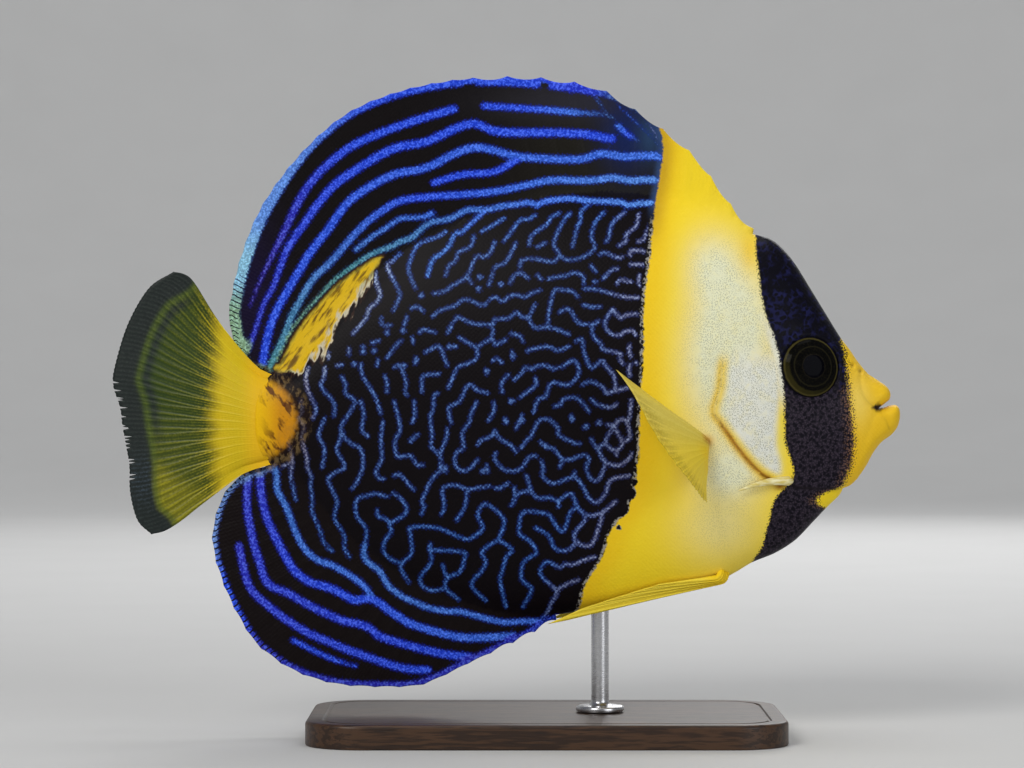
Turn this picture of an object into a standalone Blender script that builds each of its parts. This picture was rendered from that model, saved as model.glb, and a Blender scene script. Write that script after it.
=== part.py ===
"""A scribbled angelfish, modelled life-size and still, over a plain display stand.

The fish heads towards +X with its back up (+Z) and its left side towards +Y. Body, head and middle
fins are plates over regions of the mid-plane: each place of a region has a half thickness, so two
regions that share a line meet face to face. Places in that plane are (x, z) in millimetres, x from
the middle of the fish and z from the floor, and solid() turns them into metres.
"""

import math

import bmesh
import bpy
import numpy as np
from mathutils import Matrix, Vector, geometry

MM = 0.001
GAP = 0.3  # between neighbouring pieces

# The fish from lips to tail tip, and where it hangs
LIPS_X = 98.5
TAIL_X = -98.4
NAPE = (61.75, 125.5)
TAIL_ROOT_X = -60.3

# Outlines in the mid-plane, each a smooth line through its points
FOREHEAD = [NAPE, (66.0, 124.3), (69.0, 122.0), (72.3, 118.0), (76.0, 112.0), (79.8, 105.8),
            (83.5, 99.8), (86.0, 96.5), (88.0, 93.5), (90.5, 90.5)]
UPPER_LIP = [(90.5, 90.5), (93.3, 88.7), (95.3, 87.2), (96.1, 85.6), (95.9, 84.2), (94.9, 83.3),
             (93.2, 82.0)]
LOWER_LIP = [(93.2, 82.0), (94.6, 82.2), (96.2, 82.7), (97.5, 82.7), (98.3, 81.8), (98.5, 80.0),
             (98.0, 77.6), (96.5, 75.5), (93.8, 73.4), (91.8, 70.8), (90.0, 67.5), (87.9, 64.4)]
CHIN = [(87.9, 64.4), (86.2, 62.8), (84.2, 61.9)]
BELLY = [(84.2, 61.9), (83.3, 60.2), (80.0, 57.0), (76.5, 53.3), (72.3, 49.0), (67.3, 45.8),
         (61.5, 43.4), (57.3, 40.9), (52.3, 38.4), (46.0, 36.3), (38.5, 34.5), (28.5, 32.7),
         (18.5, 31.2), (12.5, 30.3)]
ANAL_BASE = [(12.5, 30.3), (3.5, 30.6), (-6.5, 32.5), (-16.5, 36.0), (-26.5, 41.0),
             (-35.3, 47.0), (-42.8, 54.0), (-48.5, 61.0), (-52.0, 65.7), (-55.3, 68.1),
             (TAIL_ROOT_X, 68.8)]
DORSAL_BASE = [NAPE, (57.3, 128.5), (52.3, 131.2), (46.0, 133.2), (38.5, 134.7), (31.0, 135.7),
               (23.5, 136.0), (13.5, 135.3), (3.5, 133.2), (-6.5, 130.2), (-16.5, 126.0),
               (-26.5, 120.0), (-35.3, 113.0), (-42.8, 105.3), (-49.0, 97.2), (-53.0, 92.0),
               (-56.5, 89.8), (TAIL_ROOT_X, 89.4)]
DORSAL_MARGIN = [(61.9, 126.9), (57.3, 131.7), (50.5, 141.0), (46.0, 146.3), (37.3, 153.3),
                 (28.5, 159.2), (22.5, 162.4), (11.0, 164.5), (0.0, 165.0), (-14.0, 164.0),
                 (-27.8, 161.0), (-40.3, 155.5), (-51.5, 145.7), (-61.0, 133.0), (-66.5, 120.0),
                 (-69.5, 107.0), (-68.8, 102.5), (-64.8, 95.8), (-59.9, 91.0)]
ANAL_MARGIN = [(12.6, 29.0), (4.0, 24.3), (-8.5, 18.5), (-18.0, 13.9), (-24.0, 12.3),
               (-37.8, 12.4), (-46.0, 13.7), (-53.5, 16.5), (-59.5, 20.5), (-64.0, 25.0),
               (-70.2, 36.5), (-73.6, 48.5), (-71.8, 57.7), (-66.5, 63.9), (-60.2, 67.3)]
TAIL_TOP_EDGE = [(TAIL_ROOT_X, 88.6), (-64.0, 91.4), (-67.0, 95.0), (-73.3, 105.6),
                 (-78.0, 113.4), (-80.5, 115.5), (-83.3, 116.1)]
TAIL_LOW_EDGE = [(TAIL_ROOT_X, 69.4), (-64.0, 67.8), (-67.5, 65.4), (-76.5, 57.5), (-81.0, 53.9),
                 (-85.0, 51.4), (-88.5, 50.5)]
TAIL_MARGIN = [(-83.3, 116.1), (-89.5, 112.0), (-94.8, 103.0), (-98.0, 92.5), (TAIL_X, 87.7),
               (-96.6, 82.0), (-95.9, 77.0), (-94.2, 68.0), (-93.9, 61.0), (-92.0, 54.0),
               (-88.5, 50.5)]

# Lines where the body parts, from top to bottom
GILL_TOP = (54.5, 97.8)
GILL_FRONT = (70.3, 62.9)
NAPE_LINE = [NAPE, (60.2, 118.0), (57.5, 108.5), GILL_TOP]
GILL_OPENING = [GILL_TOP, (53.2, 92.5), (52.7, 87.0), (51.2, 81.3), (53.0, 78.2), (56.2, 73.6),
                (59.5, 69.5), (62.8, 66.2), (66.3, 64.1), GILL_FRONT]
GILL_MEMBRANE = [GILL_FRONT, (76.0, 62.1), (81.0, 62.0), (84.2, 61.9)]
COVER_FRONT = [GILL_TOP, (56.6, 100.9), (60.0, 101.6), (63.2, 99.0), (65.3, 93.5), (66.5, 86.0),
               (68.0, 78.0), (69.4, 70.0), GILL_FRONT]
MAXILLA_LINE = [(90.5, 90.5), (89.3, 87.0), (90.3, 84.0), (93.2, 82.0)]
MANDIBLE_LINE = [(93.2, 82.0), (91.6, 78.0), (89.8, 72.0), (87.9, 64.4)]
PEDUNCLE_X = -51.8

# The body's breadth, along the fish: (x, value)
HALF_WIDTH = [(TAIL_ROOT_X, 3.7), (-56.5, 4.3), (-51.5, 4.9), (-46.5, 5.4), (-39.0, 6.3),
              (-26.5, 8.1), (-14.0, 9.9), (-1.5, 11.5), (11.0, 12.9), (23.5, 14.0), (36.0, 14.6),
              (46.0, 14.6), (53.5, 14.1), (61.0, 13.2), (68.5, 11.8), (73.5, 10.6), (78.5, 9.2),
              (83.5, 7.6), (87.0, 6.3), (91.0, 5.0), (95.0, 4.1), (LIPS_X, 3.2)]
CENTRE_LEVEL = [(TAIL_ROOT_X, 79.0), (-26.5, 80.5), (-1.5, 82.0), (23.5, 84.0), (48.5, 86.5),
                (61.0, 87.5), (73.5, 85.5), (83.5, 82.5), (93.5, 81.5), (LIPS_X, 81.0)]
# Fullness 0.5 is an ellipse's section, and 0.9 a keel that a fin stands on
TOP_FULLNESS = [(TAIL_ROOT_X, 0.55), (-50.0, 0.62), (-35.0, 0.8), (40.0, 0.82), (58.0, 0.7),
                (66.0, 0.58), (80.0, 0.52), (LIPS_X, 0.5)]
LOW_FULLNESS = [(TAIL_ROOT_X, 0.55), (-50.0, 0.62), (-35.0, 0.8), (5.0, 0.76), (18.0, 0.62),
                (45.0, 0.52), (LIPS_X, 0.5)]
TOP_EDGE = [(TAIL_ROOT_X, 0.8), (-50.0, 1.1), (-30.0, 1.5), (0.0, 1.9), (35.0, 2.0),
            (52.0, 1.6), (61.7, 0.9), (66.0, 0.5), (LIPS_X, 0.4)]
LOW_EDGE = [(TAIL_ROOT_X, 0.8), (-50.0, 1.1), (-30.0, 1.5), (-5.0, 1.7), (12.5, 1.0),
            (20.0, 0.5), (LIPS_X, 0.4)]
# Cheek and brow stand out a little: x, z, reach along x, reach along z, rise
BULGES = [(61.5, 80.0, 8.0, 15.0, 0.7), (74.0, 102.0, 6.0, 3.5, 0.5)]
LIP_ROUND = 2.4
LIPS_FROM, LIPS_WHOLLY = 84.0, 90.0
GILL_STEP = 0.9  # how far the shoulder lies below the rim of the gill cover
GILL_SLOPE = 3.5
COVER_THICK = 2.2
COVER_RISE, COVER_SLOPE = 0.35, 5.0

# Eyes, nostrils and cheek spines
EYE = (75.3, 92.2)
EYE_RADIUS = 7.8
EYE_DEPTH = 3.4
EYE_PROUD = 2.2
NOSTRILS = [(86.2, 92.6), (88.3, 91.2)]
NOSTRIL_RADIUS = 0.55
SPINE_ROOT = (70.6, 63.9)
SPINE_TIP = (57.3, 61.7)
SPINE_RADIUS = 1.25

# Fin rays: the spines and soft rays of the species
DORSAL_SPINES, DORSAL_RAYS = 11, 22
ANAL_SPINES, ANAL_RAYS = 3, 20
TAIL_RAYS = 17
PECTORAL_RAYS = 15
# From its first ray to its last: the angle in the mid-plane, the flare from the flank, the length
PECTORAL_TURN = [(0.0, 142.7), (0.1, 146.0), (0.2, 156.0), (0.35, 183.0), (0.5, 216.0),
                 (0.7, 246.0), (1.0, 272.0)]
PECTORAL_FLARE = [(0.0, 17.0), (0.1, 36.0), (0.2, 49.0), (0.35, 62.0), (0.5, 65.0), (0.7, 60.0),
                  (1.0, 44.0)]
PECTORAL_LENGTH = [(0.0, 29.5), (0.1, 28.2), (0.2, 25.8), (0.35, 21.5), (0.5, 18.0), (0.7, 15.0),
                   (1.0, 11.5)]
# The two ends of its root, as x and y, then from its spine to its last ray the angle downward,
# the angle outward and the length
PELVIC_ROOT = ((55.2, 1.9), (53.0, 4.4))
PELVIC_RAYS = [(13.8, 4.0, 30.0), (13.6, 4.5, 45.7), (11.3, 4.5, 36.5), (10.0, 4.5, 28.3),
               (8.5, 4.5, 21.0), (6.6, 5.0, 14.6)]
SPINY_SHARE = 0.43  # of the dorsal fin, from its front
MEMBRANE = 0.28  # least half thickness of any fin
RAY_RISE = 0.32
SPINE_RISE = 0.55

# The stand
BASE_CENTRE_X = 10.0
BASE_LENGTH, BASE_WIDTH, BASE_HEIGHT = 118.0, 68.0, 6.0
BASE_CORNER = 14.0
ROD_X = 23.5
ROD_RADIUS = 2.2
ROD_SUNK = 3.0
FOOT_RADIUS, FOOT_HEIGHT = 6.0, 1.6


def through(pairs, x):
    """The smooth curve through (position, value) pairs, read at x."""
    table = np.array(pairs, float)
    at, value = table[:, 0], table[:, 1]
    slope = np.gradient(value, at)
    x = np.clip(x, at[0], at[-1])
    i = np.clip(np.searchsorted(at, x) - 1, 0, len(at) - 2)
    step = at[i + 1] - at[i]
    t = (x - at[i]) / step
    return (
        value[i] * (1 + 2 * t) * (1 - t) ** 2
        + slope[i] * step * t * (1 - t) ** 2
        + value[i + 1] * t * t * (3 - 2 * t)
        + slope[i + 1] * step * t * t * (t - 1)
    )


def smooth_path(points, spacing):
    """Points about spacing apart on a Catmull-Rom line through the given ones."""
    p = np.array(points, float)
    p = np.vstack([2 * p[0] - p[1], p, 2 * p[-1] - p[-2]])
    fine = []
    for a, b, c, d in zip(p, p[1:], p[2:], p[3:]):
        for t in np.linspace(0, 1, 12, endpoint=False):
            fine.append(
                0.5 * (2 * b + (c - a) * t + (2 * a - 5 * b + 4 * c - d) * t**2
                       + (3 * b - a - 3 * c + d) * t**3)
            )
    return evenly(np.array(fine + [p[-2]]), spacing)


def evenly(line, spacing):
    """The line resampled to points about spacing apart."""
    length = np.concatenate([[0], np.cumsum(np.hypot(*np.diff(line, axis=0).T))])
    at = np.linspace(0, length[-1], max(2, int(round(length[-1] / spacing)) + 1))
    return np.column_stack([np.interp(at, length, line[:, k]) for k in (0, 1)])


def distance_to(points, spans):
    """How far each point lies from the nearest of some spans, each a pair of ends."""
    points = np.atleast_2d(points)
    best = np.full(len(points), np.inf)
    for a, b in spans:
        along = b - a
        t = np.clip(((points - a) @ along) / (along @ along), 0, 1)
        best = np.minimum(best, np.hypot(*(points - a - t[:, None] * along).T))
    return best


def distance(points, line):
    """How far each point lies from an open line."""
    return distance_to(points, zip(line, line[1:]))


def inside(points, polygon):
    """Which points lie inside a closed polygon."""
    x, z = points[:, 0], points[:, 1]
    found = np.zeros(len(points), bool)
    for (x0, z0), (x1, z1) in zip(polygon, np.roll(polygon, -1, axis=0)):
        if z0 == z1:
            continue
        crossing = (z0 > z) != (z1 > z)
        found ^= crossing & (x < x0 + (z - z0) * (x1 - x0) / (z1 - z0))
    return found


def joined(lines, spacing):
    """One line through the given ones, each of which starts where the last ends."""
    paths = [smooth_path(line, spacing) for line in lines]
    return np.vstack([path[:-1] for path in paths[:-1]] + [paths[-1]])


FACE_LINE = joined((FOREHEAD, UPPER_LIP, LOWER_LIP, CHIN), 0.8)
GILL_LINE = joined((GILL_OPENING, GILL_MEMBRANE), 1.0)
BACK_LEVEL = sorted(DORSAL_BASE[::-1] + FOREHEAD[1:] + [(95.0, 88.6), (LIPS_X, 87.5)])
BELLY_LEVEL = sorted(ANAL_BASE + BELLY[1:-1] + [(84.2, 61.5), (88.0, 64.2), (91.8, 69.5),
                                                 (95.0, 73.5), (LIPS_X, 76.0)])


def flesh(x, z):
    """Half thickness of the body at a place, before the cover and the shoulder are told apart."""
    top, low = through(BACK_LEVEL, x), through(BELLY_LEVEL, x)
    centre, width = through(CENTRE_LEVEL, x), through(HALF_WIDTH, x)
    above = z > centre
    reach = np.where(above, (z - centre) / (top - centre), (centre - z) / (centre - low))
    fullness = np.where(above, through(TOP_FULLNESS, x), through(LOW_FULLNESS, x))
    edge = np.where(above, through(TOP_EDGE, x), through(LOW_EDGE, x))
    half = edge + (width - edge) * (1 - np.clip(reach, 0, 1) ** 2) ** fullness
    for at_x, at_z, along, up, rise in BULGES:
        half = half + rise * np.exp(-(((x - at_x) / along) ** 2) - ((z - at_z) / up) ** 2)
    near = np.clip(distance(np.column_stack([x, z]), FACE_LINE) / LIP_ROUND, 0, 1)
    lips = np.clip((x - LIPS_FROM) / (LIPS_WHOLLY - LIPS_FROM), 0, 1)
    return half * (1 - lips * (1 - np.sqrt(1 - (1 - near) ** 2))) + 0.1 * lips


def shoulder(x, z):
    """Half thickness behind the gill opening, where the shoulder dips under the cover."""
    away = distance(np.column_stack([x, z]), GILL_LINE)
    return flesh(x, z) - GILL_STEP * np.exp(-away / GILL_SLOPE)


def cover(x, z):
    """Half thickness to the outer face of the gill cover, whose rim stands proud."""
    away = distance(np.column_stack([x, z]), GILL_LINE)
    return flesh(x, z) + COVER_RISE * np.exp(-away / COVER_SLOPE)


def flesh_at(x, z):
    """flesh() at a single place."""
    return float(flesh(np.array([x]), np.array([z]))[0])


def paint(name, colour, roughness=0.45, metallic=0.0):
    """A plain material."""
    material = bpy.data.materials.new(name)
    material.use_nodes = True
    shader = material.node_tree.nodes["Principled BSDF"]
    shader.inputs["Base Color"].default_value = (*colour, 1)
    shader.inputs["Roughness"].default_value = roughness
    shader.inputs["Metallic"].default_value = metallic
    material.diffuse_color = (*colour, 1)
    return material


def finished(name, shell, material):
    """The object of a closed bmesh: faces outwards, shaded smooth."""
    bmesh.ops.recalc_face_normals(shell, faces=shell.faces)
    if shell.calc_volume(signed=True) < 0:
        bmesh.ops.reverse_faces(shell, faces=shell.faces)
    mesh = bpy.data.meshes.new(name)
    shell.to_mesh(mesh)
    shell.free()
    mesh.shade_smooth()
    mesh.set_sharp_from_angle(angle=math.radians(50))
    if material:
        mesh.materials.append(material)
    body = bpy.data.objects.new(name, mesh)
    bpy.context.scene.collection.objects.link(body)
    return body


def solid(name, points, faces, material=None):
    """An object from points in millimetres and faces."""
    shell = bmesh.new()
    corners = [shell.verts.new([float(c) * MM for c in p]) for p in points]
    for face in faces:
        shell.faces.new([corners[k] for k in face])
    return finished(name, shell, material)


def sandwich(name, near, far, triangles, material=None):
    """The solid between two sheets of equally many places, and the wall round them."""
    count = len(near)
    faces = [tuple(t) for t in triangles]
    faces += [tuple(count + k for k in reversed(t)) for t in triangles]
    sides = {(t[i], t[(i + 1) % 3]) for t in triangles for i in range(3)}
    for a, b in sorted(sides):
        if (b, a) not in sides:
            faces += [(a, count + a, count + b), (a, count + b, b)]
    return solid(name, list(near) + list(far), faces, material)


def closed_between(name, flat, triangles, near, far, material=None):
    """The solid over a triangulated region between two sheets, y = near and y = far."""
    sheets = [[(x, y, z) for (x, z), y in zip(flat, level)] for level in (near, far)]
    return sandwich(name, *sheets, triangles, material)


def plate(name, flat, triangles, half, middle, material):
    """The solid that reaches half to each side of a middle sheet."""
    return closed_between(name, flat, triangles, middle - half, middle + half, material)


FREE, CUT, ROOT = "free edge", "cut edge", "cut edge that a fin stands on"


def outline(stretches):
    """A closed outline from (line, kind) stretches, its cut edges drawn in by half the gap."""
    points, kinds = [], []
    for line, kind in stretches:
        points += [tuple(p) for p in line[:-1]]
        kinds += [kind] * (len(line) - 1)
    p = np.array(points)
    inner = np.empty_like(p)
    for i in range(len(p)):
        lines = []
        after = p[(i + 1) % len(p)]
        for a, b, kind in ((p[i - 1], p[i], kinds[i - 1]), (p[i], after, kinds[i])):
            normal = np.array([a[1] - b[1], b[0] - a[0]]) / np.hypot(*(b - a))
            lines.append((normal, 0.0 if kind == FREE else GAP / 2))
        (n0, d0), (n1, d1) = lines
        turn = n0[0] * n1[1] - n0[1] * n1[0]
        if abs(turn) < 0.15:
            inner[i] = p[i] + (n0 + n1) / 2 * (d0 + d1) / 2
        else:
            inner[i] = p[i] + np.linalg.solve([n0, n1], [d0, d1])
    return inner, kinds


def section_lattice(polygon, step, rows):
    """(place, room) in columns, closer together where the body's sections bend more."""
    columns = np.arange(polygon[:, 0].min() + step / 2, polygon[:, 0].max(), step)
    for k, x in enumerate(columns):
        top, low = through(BACK_LEVEL, x), through(BELLY_LEVEL, x)
        centre = through(CENTRE_LEVEL, x)
        for row in range(rows):
            turn = math.pi * ((row + 0.5 + 0.5 * (k % 2)) / rows - 0.5)
            reach = top - centre if turn > 0 else centre - low
            room = max(0.6, 0.45 * reach * math.cos(turn) * math.pi / rows)
            yield np.array([x, centre + reach * math.sin(turn)]), room


def even_lattice(polygon, spacing):
    """(place, room) in staggered rows over a polygon."""
    low, high = polygon.min(0), polygon.max(0)
    row_step = spacing * math.sqrt(3) / 2
    for row in range(int((high[1] - low[1]) / row_step) + 1):
        z = low[1] + (row + 0.5) * row_step
        for x in np.arange(low[0] + (row % 2) * spacing / 2, high[0], spacing):
            yield np.array([x, z]), spacing * 0.55


def fill(polygon, kinds, rings, lattice):
    """Triangles over a polygon: rows along its rounded edges at the ring distances, and a lattice."""
    closed = np.vstack([polygon, polygon[:1]])
    rounded = [(a, b) for a, b, kind in zip(closed, closed[1:], kinds) if kind != CUT]
    wanted = []
    for ring in rings:
        for a, b in rounded:
            normal = np.array([a[1] - b[1], b[0] - a[0]]) / np.hypot(*(b - a))
            wanted.append(((a + b) / 2 + normal * ring, ring * 0.85))
    on_rings = len(wanted)
    wanted += list(lattice)
    places = np.array([place for place, _ in wanted])
    rooms = np.array([room for _, room in wanted])
    good = inside(places, polygon) & (distance(places, closed) >= rooms)
    if rounded:
        good[on_rings:] &= distance_to(places[on_rings:], rounded) > rings[-1] * 1.4
    kept = list(polygon)
    for place, room in zip(places[good], rooms[good]):
        if np.hypot(*(np.array(kept) - place).T).min() >= room:
            kept.append(place)
    edge = list(range(len(polygon)))
    every = [Vector(p) for p in kept]
    corners, _, faces, *_ = geometry.delaunay_2d_cdt(every, [], [edge], 1, 1e-6)
    flat = np.array([tuple(v) for v in corners])
    triangles = []
    for a, b, c in faces:
        turn = np.cross(flat[b] - flat[a], flat[c] - flat[a])
        triangles.append((a, b, c) if turn > 0 else (a, c, b))
    return flat, triangles


def grid(columns):
    """Places and triangles of a sheet given as columns of equally many places."""
    rows = len(columns[0])
    flat = np.vstack(columns)
    triangles = []
    for i in range(len(columns) - 1):
        for j in range(rows - 1):
            a, b = i * rows + j, (i + 1) * rows + j
            triangles += [(a, b, b + 1), (a, b + 1, a + 1)]
    a, b, c = (flat[k] for k in triangles[0])
    if len(flat[0]) == 2 and np.cross(b - a, c - a) < 0:
        triangles = [(a, c, b) for a, b, c in triangles]
    return flat, triangles


def ray_columns(count, spiny=0):
    """Where a fin's columns stand, 0 to 1, and which are rays: rays with membrane between."""
    at = np.linspace(0, 1, 2 * count - 1)
    return [(u, k % 2 == 0, k // 2 < spiny) for k, u in enumerate(at)]


def fin_patch(front, back, base, margin, u, v):
    """The place at share u along a fin and share v of the way out, between its four edges."""
    def on(line, t):
        index = np.linspace(0, 1, len(line))
        return np.array([np.interp(t, index, line[:, k]) for k in (0, 1)])

    corners = (
        (1 - u) * (1 - v) * base[0] + u * (1 - v) * base[-1]
        + (1 - u) * v * margin[0] + u * v * margin[-1]
    )
    return (
        (1 - u) * on(front, v) + u * on(back, v) + (1 - v) * on(base, u) + v * on(margin, u)
        - corners
    )


def middle_fin(name, edges, span, columns, root_half, wave, material, rows=7, notch=0.5):
    """A fin in the mid-plane whose rays rise from its membrane and reach past it at the margin."""
    start, end = span
    sheet, half, middle = [], [], []
    for share, is_ray, is_spine in columns:
        u = start + (end - start) * share
        out = 1.0
        base, tip = fin_patch(*edges, u, 0.0), fin_patch(*edges, u, 1.0)
        length = max(np.hypot(*(tip - base)), 1.0)
        if not is_ray:
            out -= (2.2 if is_spine else 1.0) * notch / length
        column = []
        for j in range(rows):
            v = out * (j / (rows - 1)) ** 0.9
            column.append(fin_patch(*edges, u, v))
            root = root_half(*column[0])
            taper = MEMBRANE + (root - MEMBRANE) * (1 - v) ** 1.5
            rise = (SPINE_RISE if is_spine else RAY_RISE) * (1 - 0.75 * v) * min(1.0, 3 * v)
            half.append(taper + (rise if is_ray else 0.0))
            middle.append(wave(u, v))
        sheet.append(np.array(column))
    flat, triangles = grid(sheet)
    return plate(name, flat, triangles, np.array(half), np.array(middle), material)


def largest_shell(body):
    """Keeps only the largest closed surface of a mesh."""
    mesh = body.data
    parent = list(range(len(mesh.vertices)))

    def root(k):
        while parent[k] != k:
            parent[k] = parent[parent[k]]
            k = parent[k]
        return k

    for edge in mesh.edges:
        a, b = (root(k) for k in edge.vertices)
        parent[a] = b
    shells = {}
    for polygon in mesh.polygons:
        shells.setdefault(root(polygon.vertices[0]), []).append(polygon)
    best = max(shells.values(), key=len)
    used = sorted({k for polygon in best for k in polygon.vertices})
    index = {k: n for n, k in enumerate(used)}
    points = [mesh.vertices[k].co / MM for k in used]
    faces = [tuple(index[k] for k in polygon.vertices) for polygon in best]
    material = mesh.materials[0] if mesh.materials else None
    name = body.name
    bpy.data.objects.remove(body)
    return solid(name, points, faces, material)


def carve(body, cutters):
    """Cuts the cutters out of a body, applies that, and removes them."""
    group = bpy.data.collections.new(body.name + "_cutters")
    for cutter in cutters:
        group.objects.link(cutter)
    carving = body.modifiers.new("carve", "BOOLEAN")
    carving.operation = "DIFFERENCE"
    carving.operand_type = "COLLECTION"
    carving.collection = group
    carving.solver = "EXACT"
    graph = bpy.context.evaluated_depsgraph_get()
    mesh = bpy.data.meshes.new_from_object(body.evaluated_get(graph))
    body.modifiers.clear()
    body.data = mesh
    for cutter in cutters:
        bpy.data.objects.remove(cutter)
    bpy.data.collections.remove(group)
    return largest_shell(body)


def seat_of(place, side, rise):
    """The frame of a piece set on the skin: its Z along the skin's normal, at a rise above it."""
    x, z = place
    step = 2.0
    around = flesh(np.array([x, x - step, x + step, x, x]), np.array([z, z, z, z - step, z + step]))
    slope_x, slope_z = (around[2] - around[1]) / (2 * step), (around[4] - around[3]) / (2 * step)
    normal = Vector((-slope_x, side, -slope_z)).normalized()
    turn = normal.to_track_quat("Z", "Y").to_matrix().to_4x4()
    return Matrix.Translation(Vector((x, side * around[0], z)) + normal * rise) @ turn


def ellipsoid(name, place, radii, segments, rings, material=None):
    """A closed ellipsoid with its poles on the Z of its frame."""
    ball = bmesh.new()
    shape = Matrix.Scale(MM, 4) @ place @ Matrix.Diagonal((*radii, 1))
    bmesh.ops.create_uvsphere(ball, u_segments=segments, v_segments=rings, radius=1, matrix=shape)
    return finished(name, ball, material)


def body_mould(side, low, high, level, spacing=1.5):
    """What a piece on the skin must stay clear of: the body under a box of the mid-plane."""
    nx = int((high[0] - low[0]) / spacing) + 1
    nz = int((high[1] - low[1]) / spacing) + 1
    columns = [
        np.column_stack([np.full(nz, x), np.linspace(low[1], high[1], nz)])
        for x in np.linspace(low[0], high[0], nx)
    ]
    flat, triangles = grid(columns)
    outer = level(flat[:, 0], flat[:, 1]) + GAP
    inner = np.full(len(flat), -1.0)
    near, far = (inner, outer) if side > 0 else (-outer, -inner)
    return closed_between("mould", flat, triangles, near, far)


def belly_at(x, half):
    """The level at which the belly is as thick as twice half."""
    low, high = through(BELLY_LEVEL, x), through(CENTRE_LEVEL, x)
    for _ in range(24):
        middle = (low + high) / 2
        if flesh_at(x, middle) < half:
            low = middle
        else:
            high = middle
    return float(high)


def ray_path(root, normal, direction, length, bend, rows):
    """A ray that leaves the skin along its normal and bends over to its own direction."""
    knee = root + normal * bend
    turn = knee + direction * bend
    path = [root]
    for t in (0.35, 0.7):
        path.append(root * (1 - t) ** 2 + knee * 2 * t * (1 - t) + turn * t**2)
    for j in range(rows - 3):
        share = j / (rows - 4)
        path.append(turn + direction * (length - bend) * share**1.2)
    return path


def fan_fin(name, roots, rays, seat, normal, thick, material, bend=1.8, rows=8, notch=0.4):
    """A paired fin: rays fan out from a root line in space, with membrane between them.

    rays gives each ray's direction and length; seat puts a place of the root onto the skin.
    """
    count = 2 * len(rays) - 1
    columns = []
    for k in range(count):
        share = k / (count - 1)
        at = share * (len(rays) - 1)
        i = min(int(at), len(rays) - 2)
        t = at - i
        direction = rays[i][0].lerp(rays[i + 1][0], t).normalized()
        length = rays[i][1] * (1 - t) + rays[i + 1][1] * t - (notch if k % 2 else 0.0)
        root = seat(roots[0].lerp(roots[1], share))
        columns.append(ray_path(root, normal, direction, length, bend, rows))
    near, far = [], []
    for k, column in enumerate(columns):
        after, before = columns[min(k + 1, count - 1)], columns[max(k - 1, 0)]
        for j, place in enumerate(column):
            v = max(0, j - 2) / (rows - 3)
            out = (column[min(j + 1, rows - 1)] - column[max(j - 1, 0)]).normalized()
            across = (after[j] - before[j]).normalized()
            face = across.cross(out).normalized()
            half = MEMBRANE + (thick - MEMBRANE) * (1 - v) ** 1.6
            half += 0.0 if k % 2 or j == 0 else 0.22 * (1 - 0.6 * v)
            sheets = (place + face * half, place - face * half)
            if j == 0:
                sheets = [seat(edge) for edge in sheets]
            near.append(sheets[0])
            far.append(sheets[1])
    _, triangles = grid([np.array([tuple(p) for p in column]) for column in columns])
    return sandwich(name, near, far, triangles, material)


def make_body(skins):
    """Head, jaws, torso and the root of the tail."""
    fine, medium, coarse = 1.0, 2.1, 3.8
    gill = smooth_path(GILL_OPENING, medium)
    membrane = smooth_path(GILL_MEMBRANE, medium)
    nape = smooth_path(NAPE_LINE, medium)
    maxilla = smooth_path(MAXILLA_LINE, fine)
    mandible = smooth_path(MANDIBLE_LINE, 1.2)
    ends = [(PEDUNCLE_X, float(through(line, PEDUNCLE_X))) for line in (BELLY_LEVEL, BACK_LEVEL)]
    peduncle = evenly(np.array(ends), 2.6)
    tail = evenly(np.array([ANAL_BASE[-1], DORSAL_BASE[-1]]), 2.6)

    def split(line):
        """A base line parted where the torso ends and the root of the tail begins."""
        path = smooth_path(line, coarse)
        return path[path[:, 0] > PEDUNCLE_X + 0.8], path[path[:, 0] < PEDUNCLE_X - 0.8]

    back_front, back_rear = split(DORSAL_BASE)
    anal_front, anal_rear = split(ANAL_BASE)
    head = [
        (smooth_path(FOREHEAD, medium)[::-1], FREE),
        (nape, CUT), (gill, CUT), (membrane, CUT),
        (smooth_path(CHIN, fine)[::-1], FREE),
        (mandible[::-1], CUT), (maxilla[::-1], CUT),
    ]
    torso = [
        (nape[::-1], CUT),
        (np.vstack([back_front, peduncle[-1:]]), ROOT),
        (peduncle[::-1], CUT),
        (np.vstack([peduncle[:1], anal_front[::-1]]), ROOT),
        (smooth_path(BELLY, medium)[::-1], FREE),
        (membrane[::-1], CUT), (gill[::-1], CUT),
    ]
    root = [
        (peduncle, CUT),
        (np.vstack([peduncle[-1:], back_rear]), ROOT),
        (tail[::-1], CUT),
        (np.vstack([anal_rear[::-1], peduncle[:1]]), ROOT),
    ]
    upper = [(maxilla, CUT), (smooth_path(UPPER_LIP, fine)[::-1], FREE)]
    lower = [(mandible, CUT), (smooth_path(LOWER_LIP, fine)[::-1], FREE)]
    # Edge rows at these distances, columns this far apart and rows to a column
    plan = {
        "head": (head, (0.6, 1.9, 4.2), (3.6, 15), flesh, "mask"),
        "torso": (torso, (0.8, 2.4, 5.2, 9.2), (6.0, 15), shoulder, "scribble"),
        "tail_root": (root, (0.8, 2.4), (2.6, 7), flesh, "yellow"),
        "upper_jaw": (upper, (0.4, 1.0, 2.0), (1.6, 15), flesh, "yellow"),
        "lower_jaw": (lower, (0.4, 1.0, 2.0), (1.6, 19), flesh, "yellow"),
    }
    pieces = {}
    for name, (stretches, rings, (step, rows), level, skin) in plan.items():
        polygon, kinds = outline(stretches)
        flat, triangles = fill(polygon, kinds, rings, section_lattice(polygon, step, rows))
        half = level(flat[:, 0], flat[:, 1])
        pieces[name] = plate(name, flat, triangles, half, 0.0, skins[skin])
    return pieces


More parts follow.
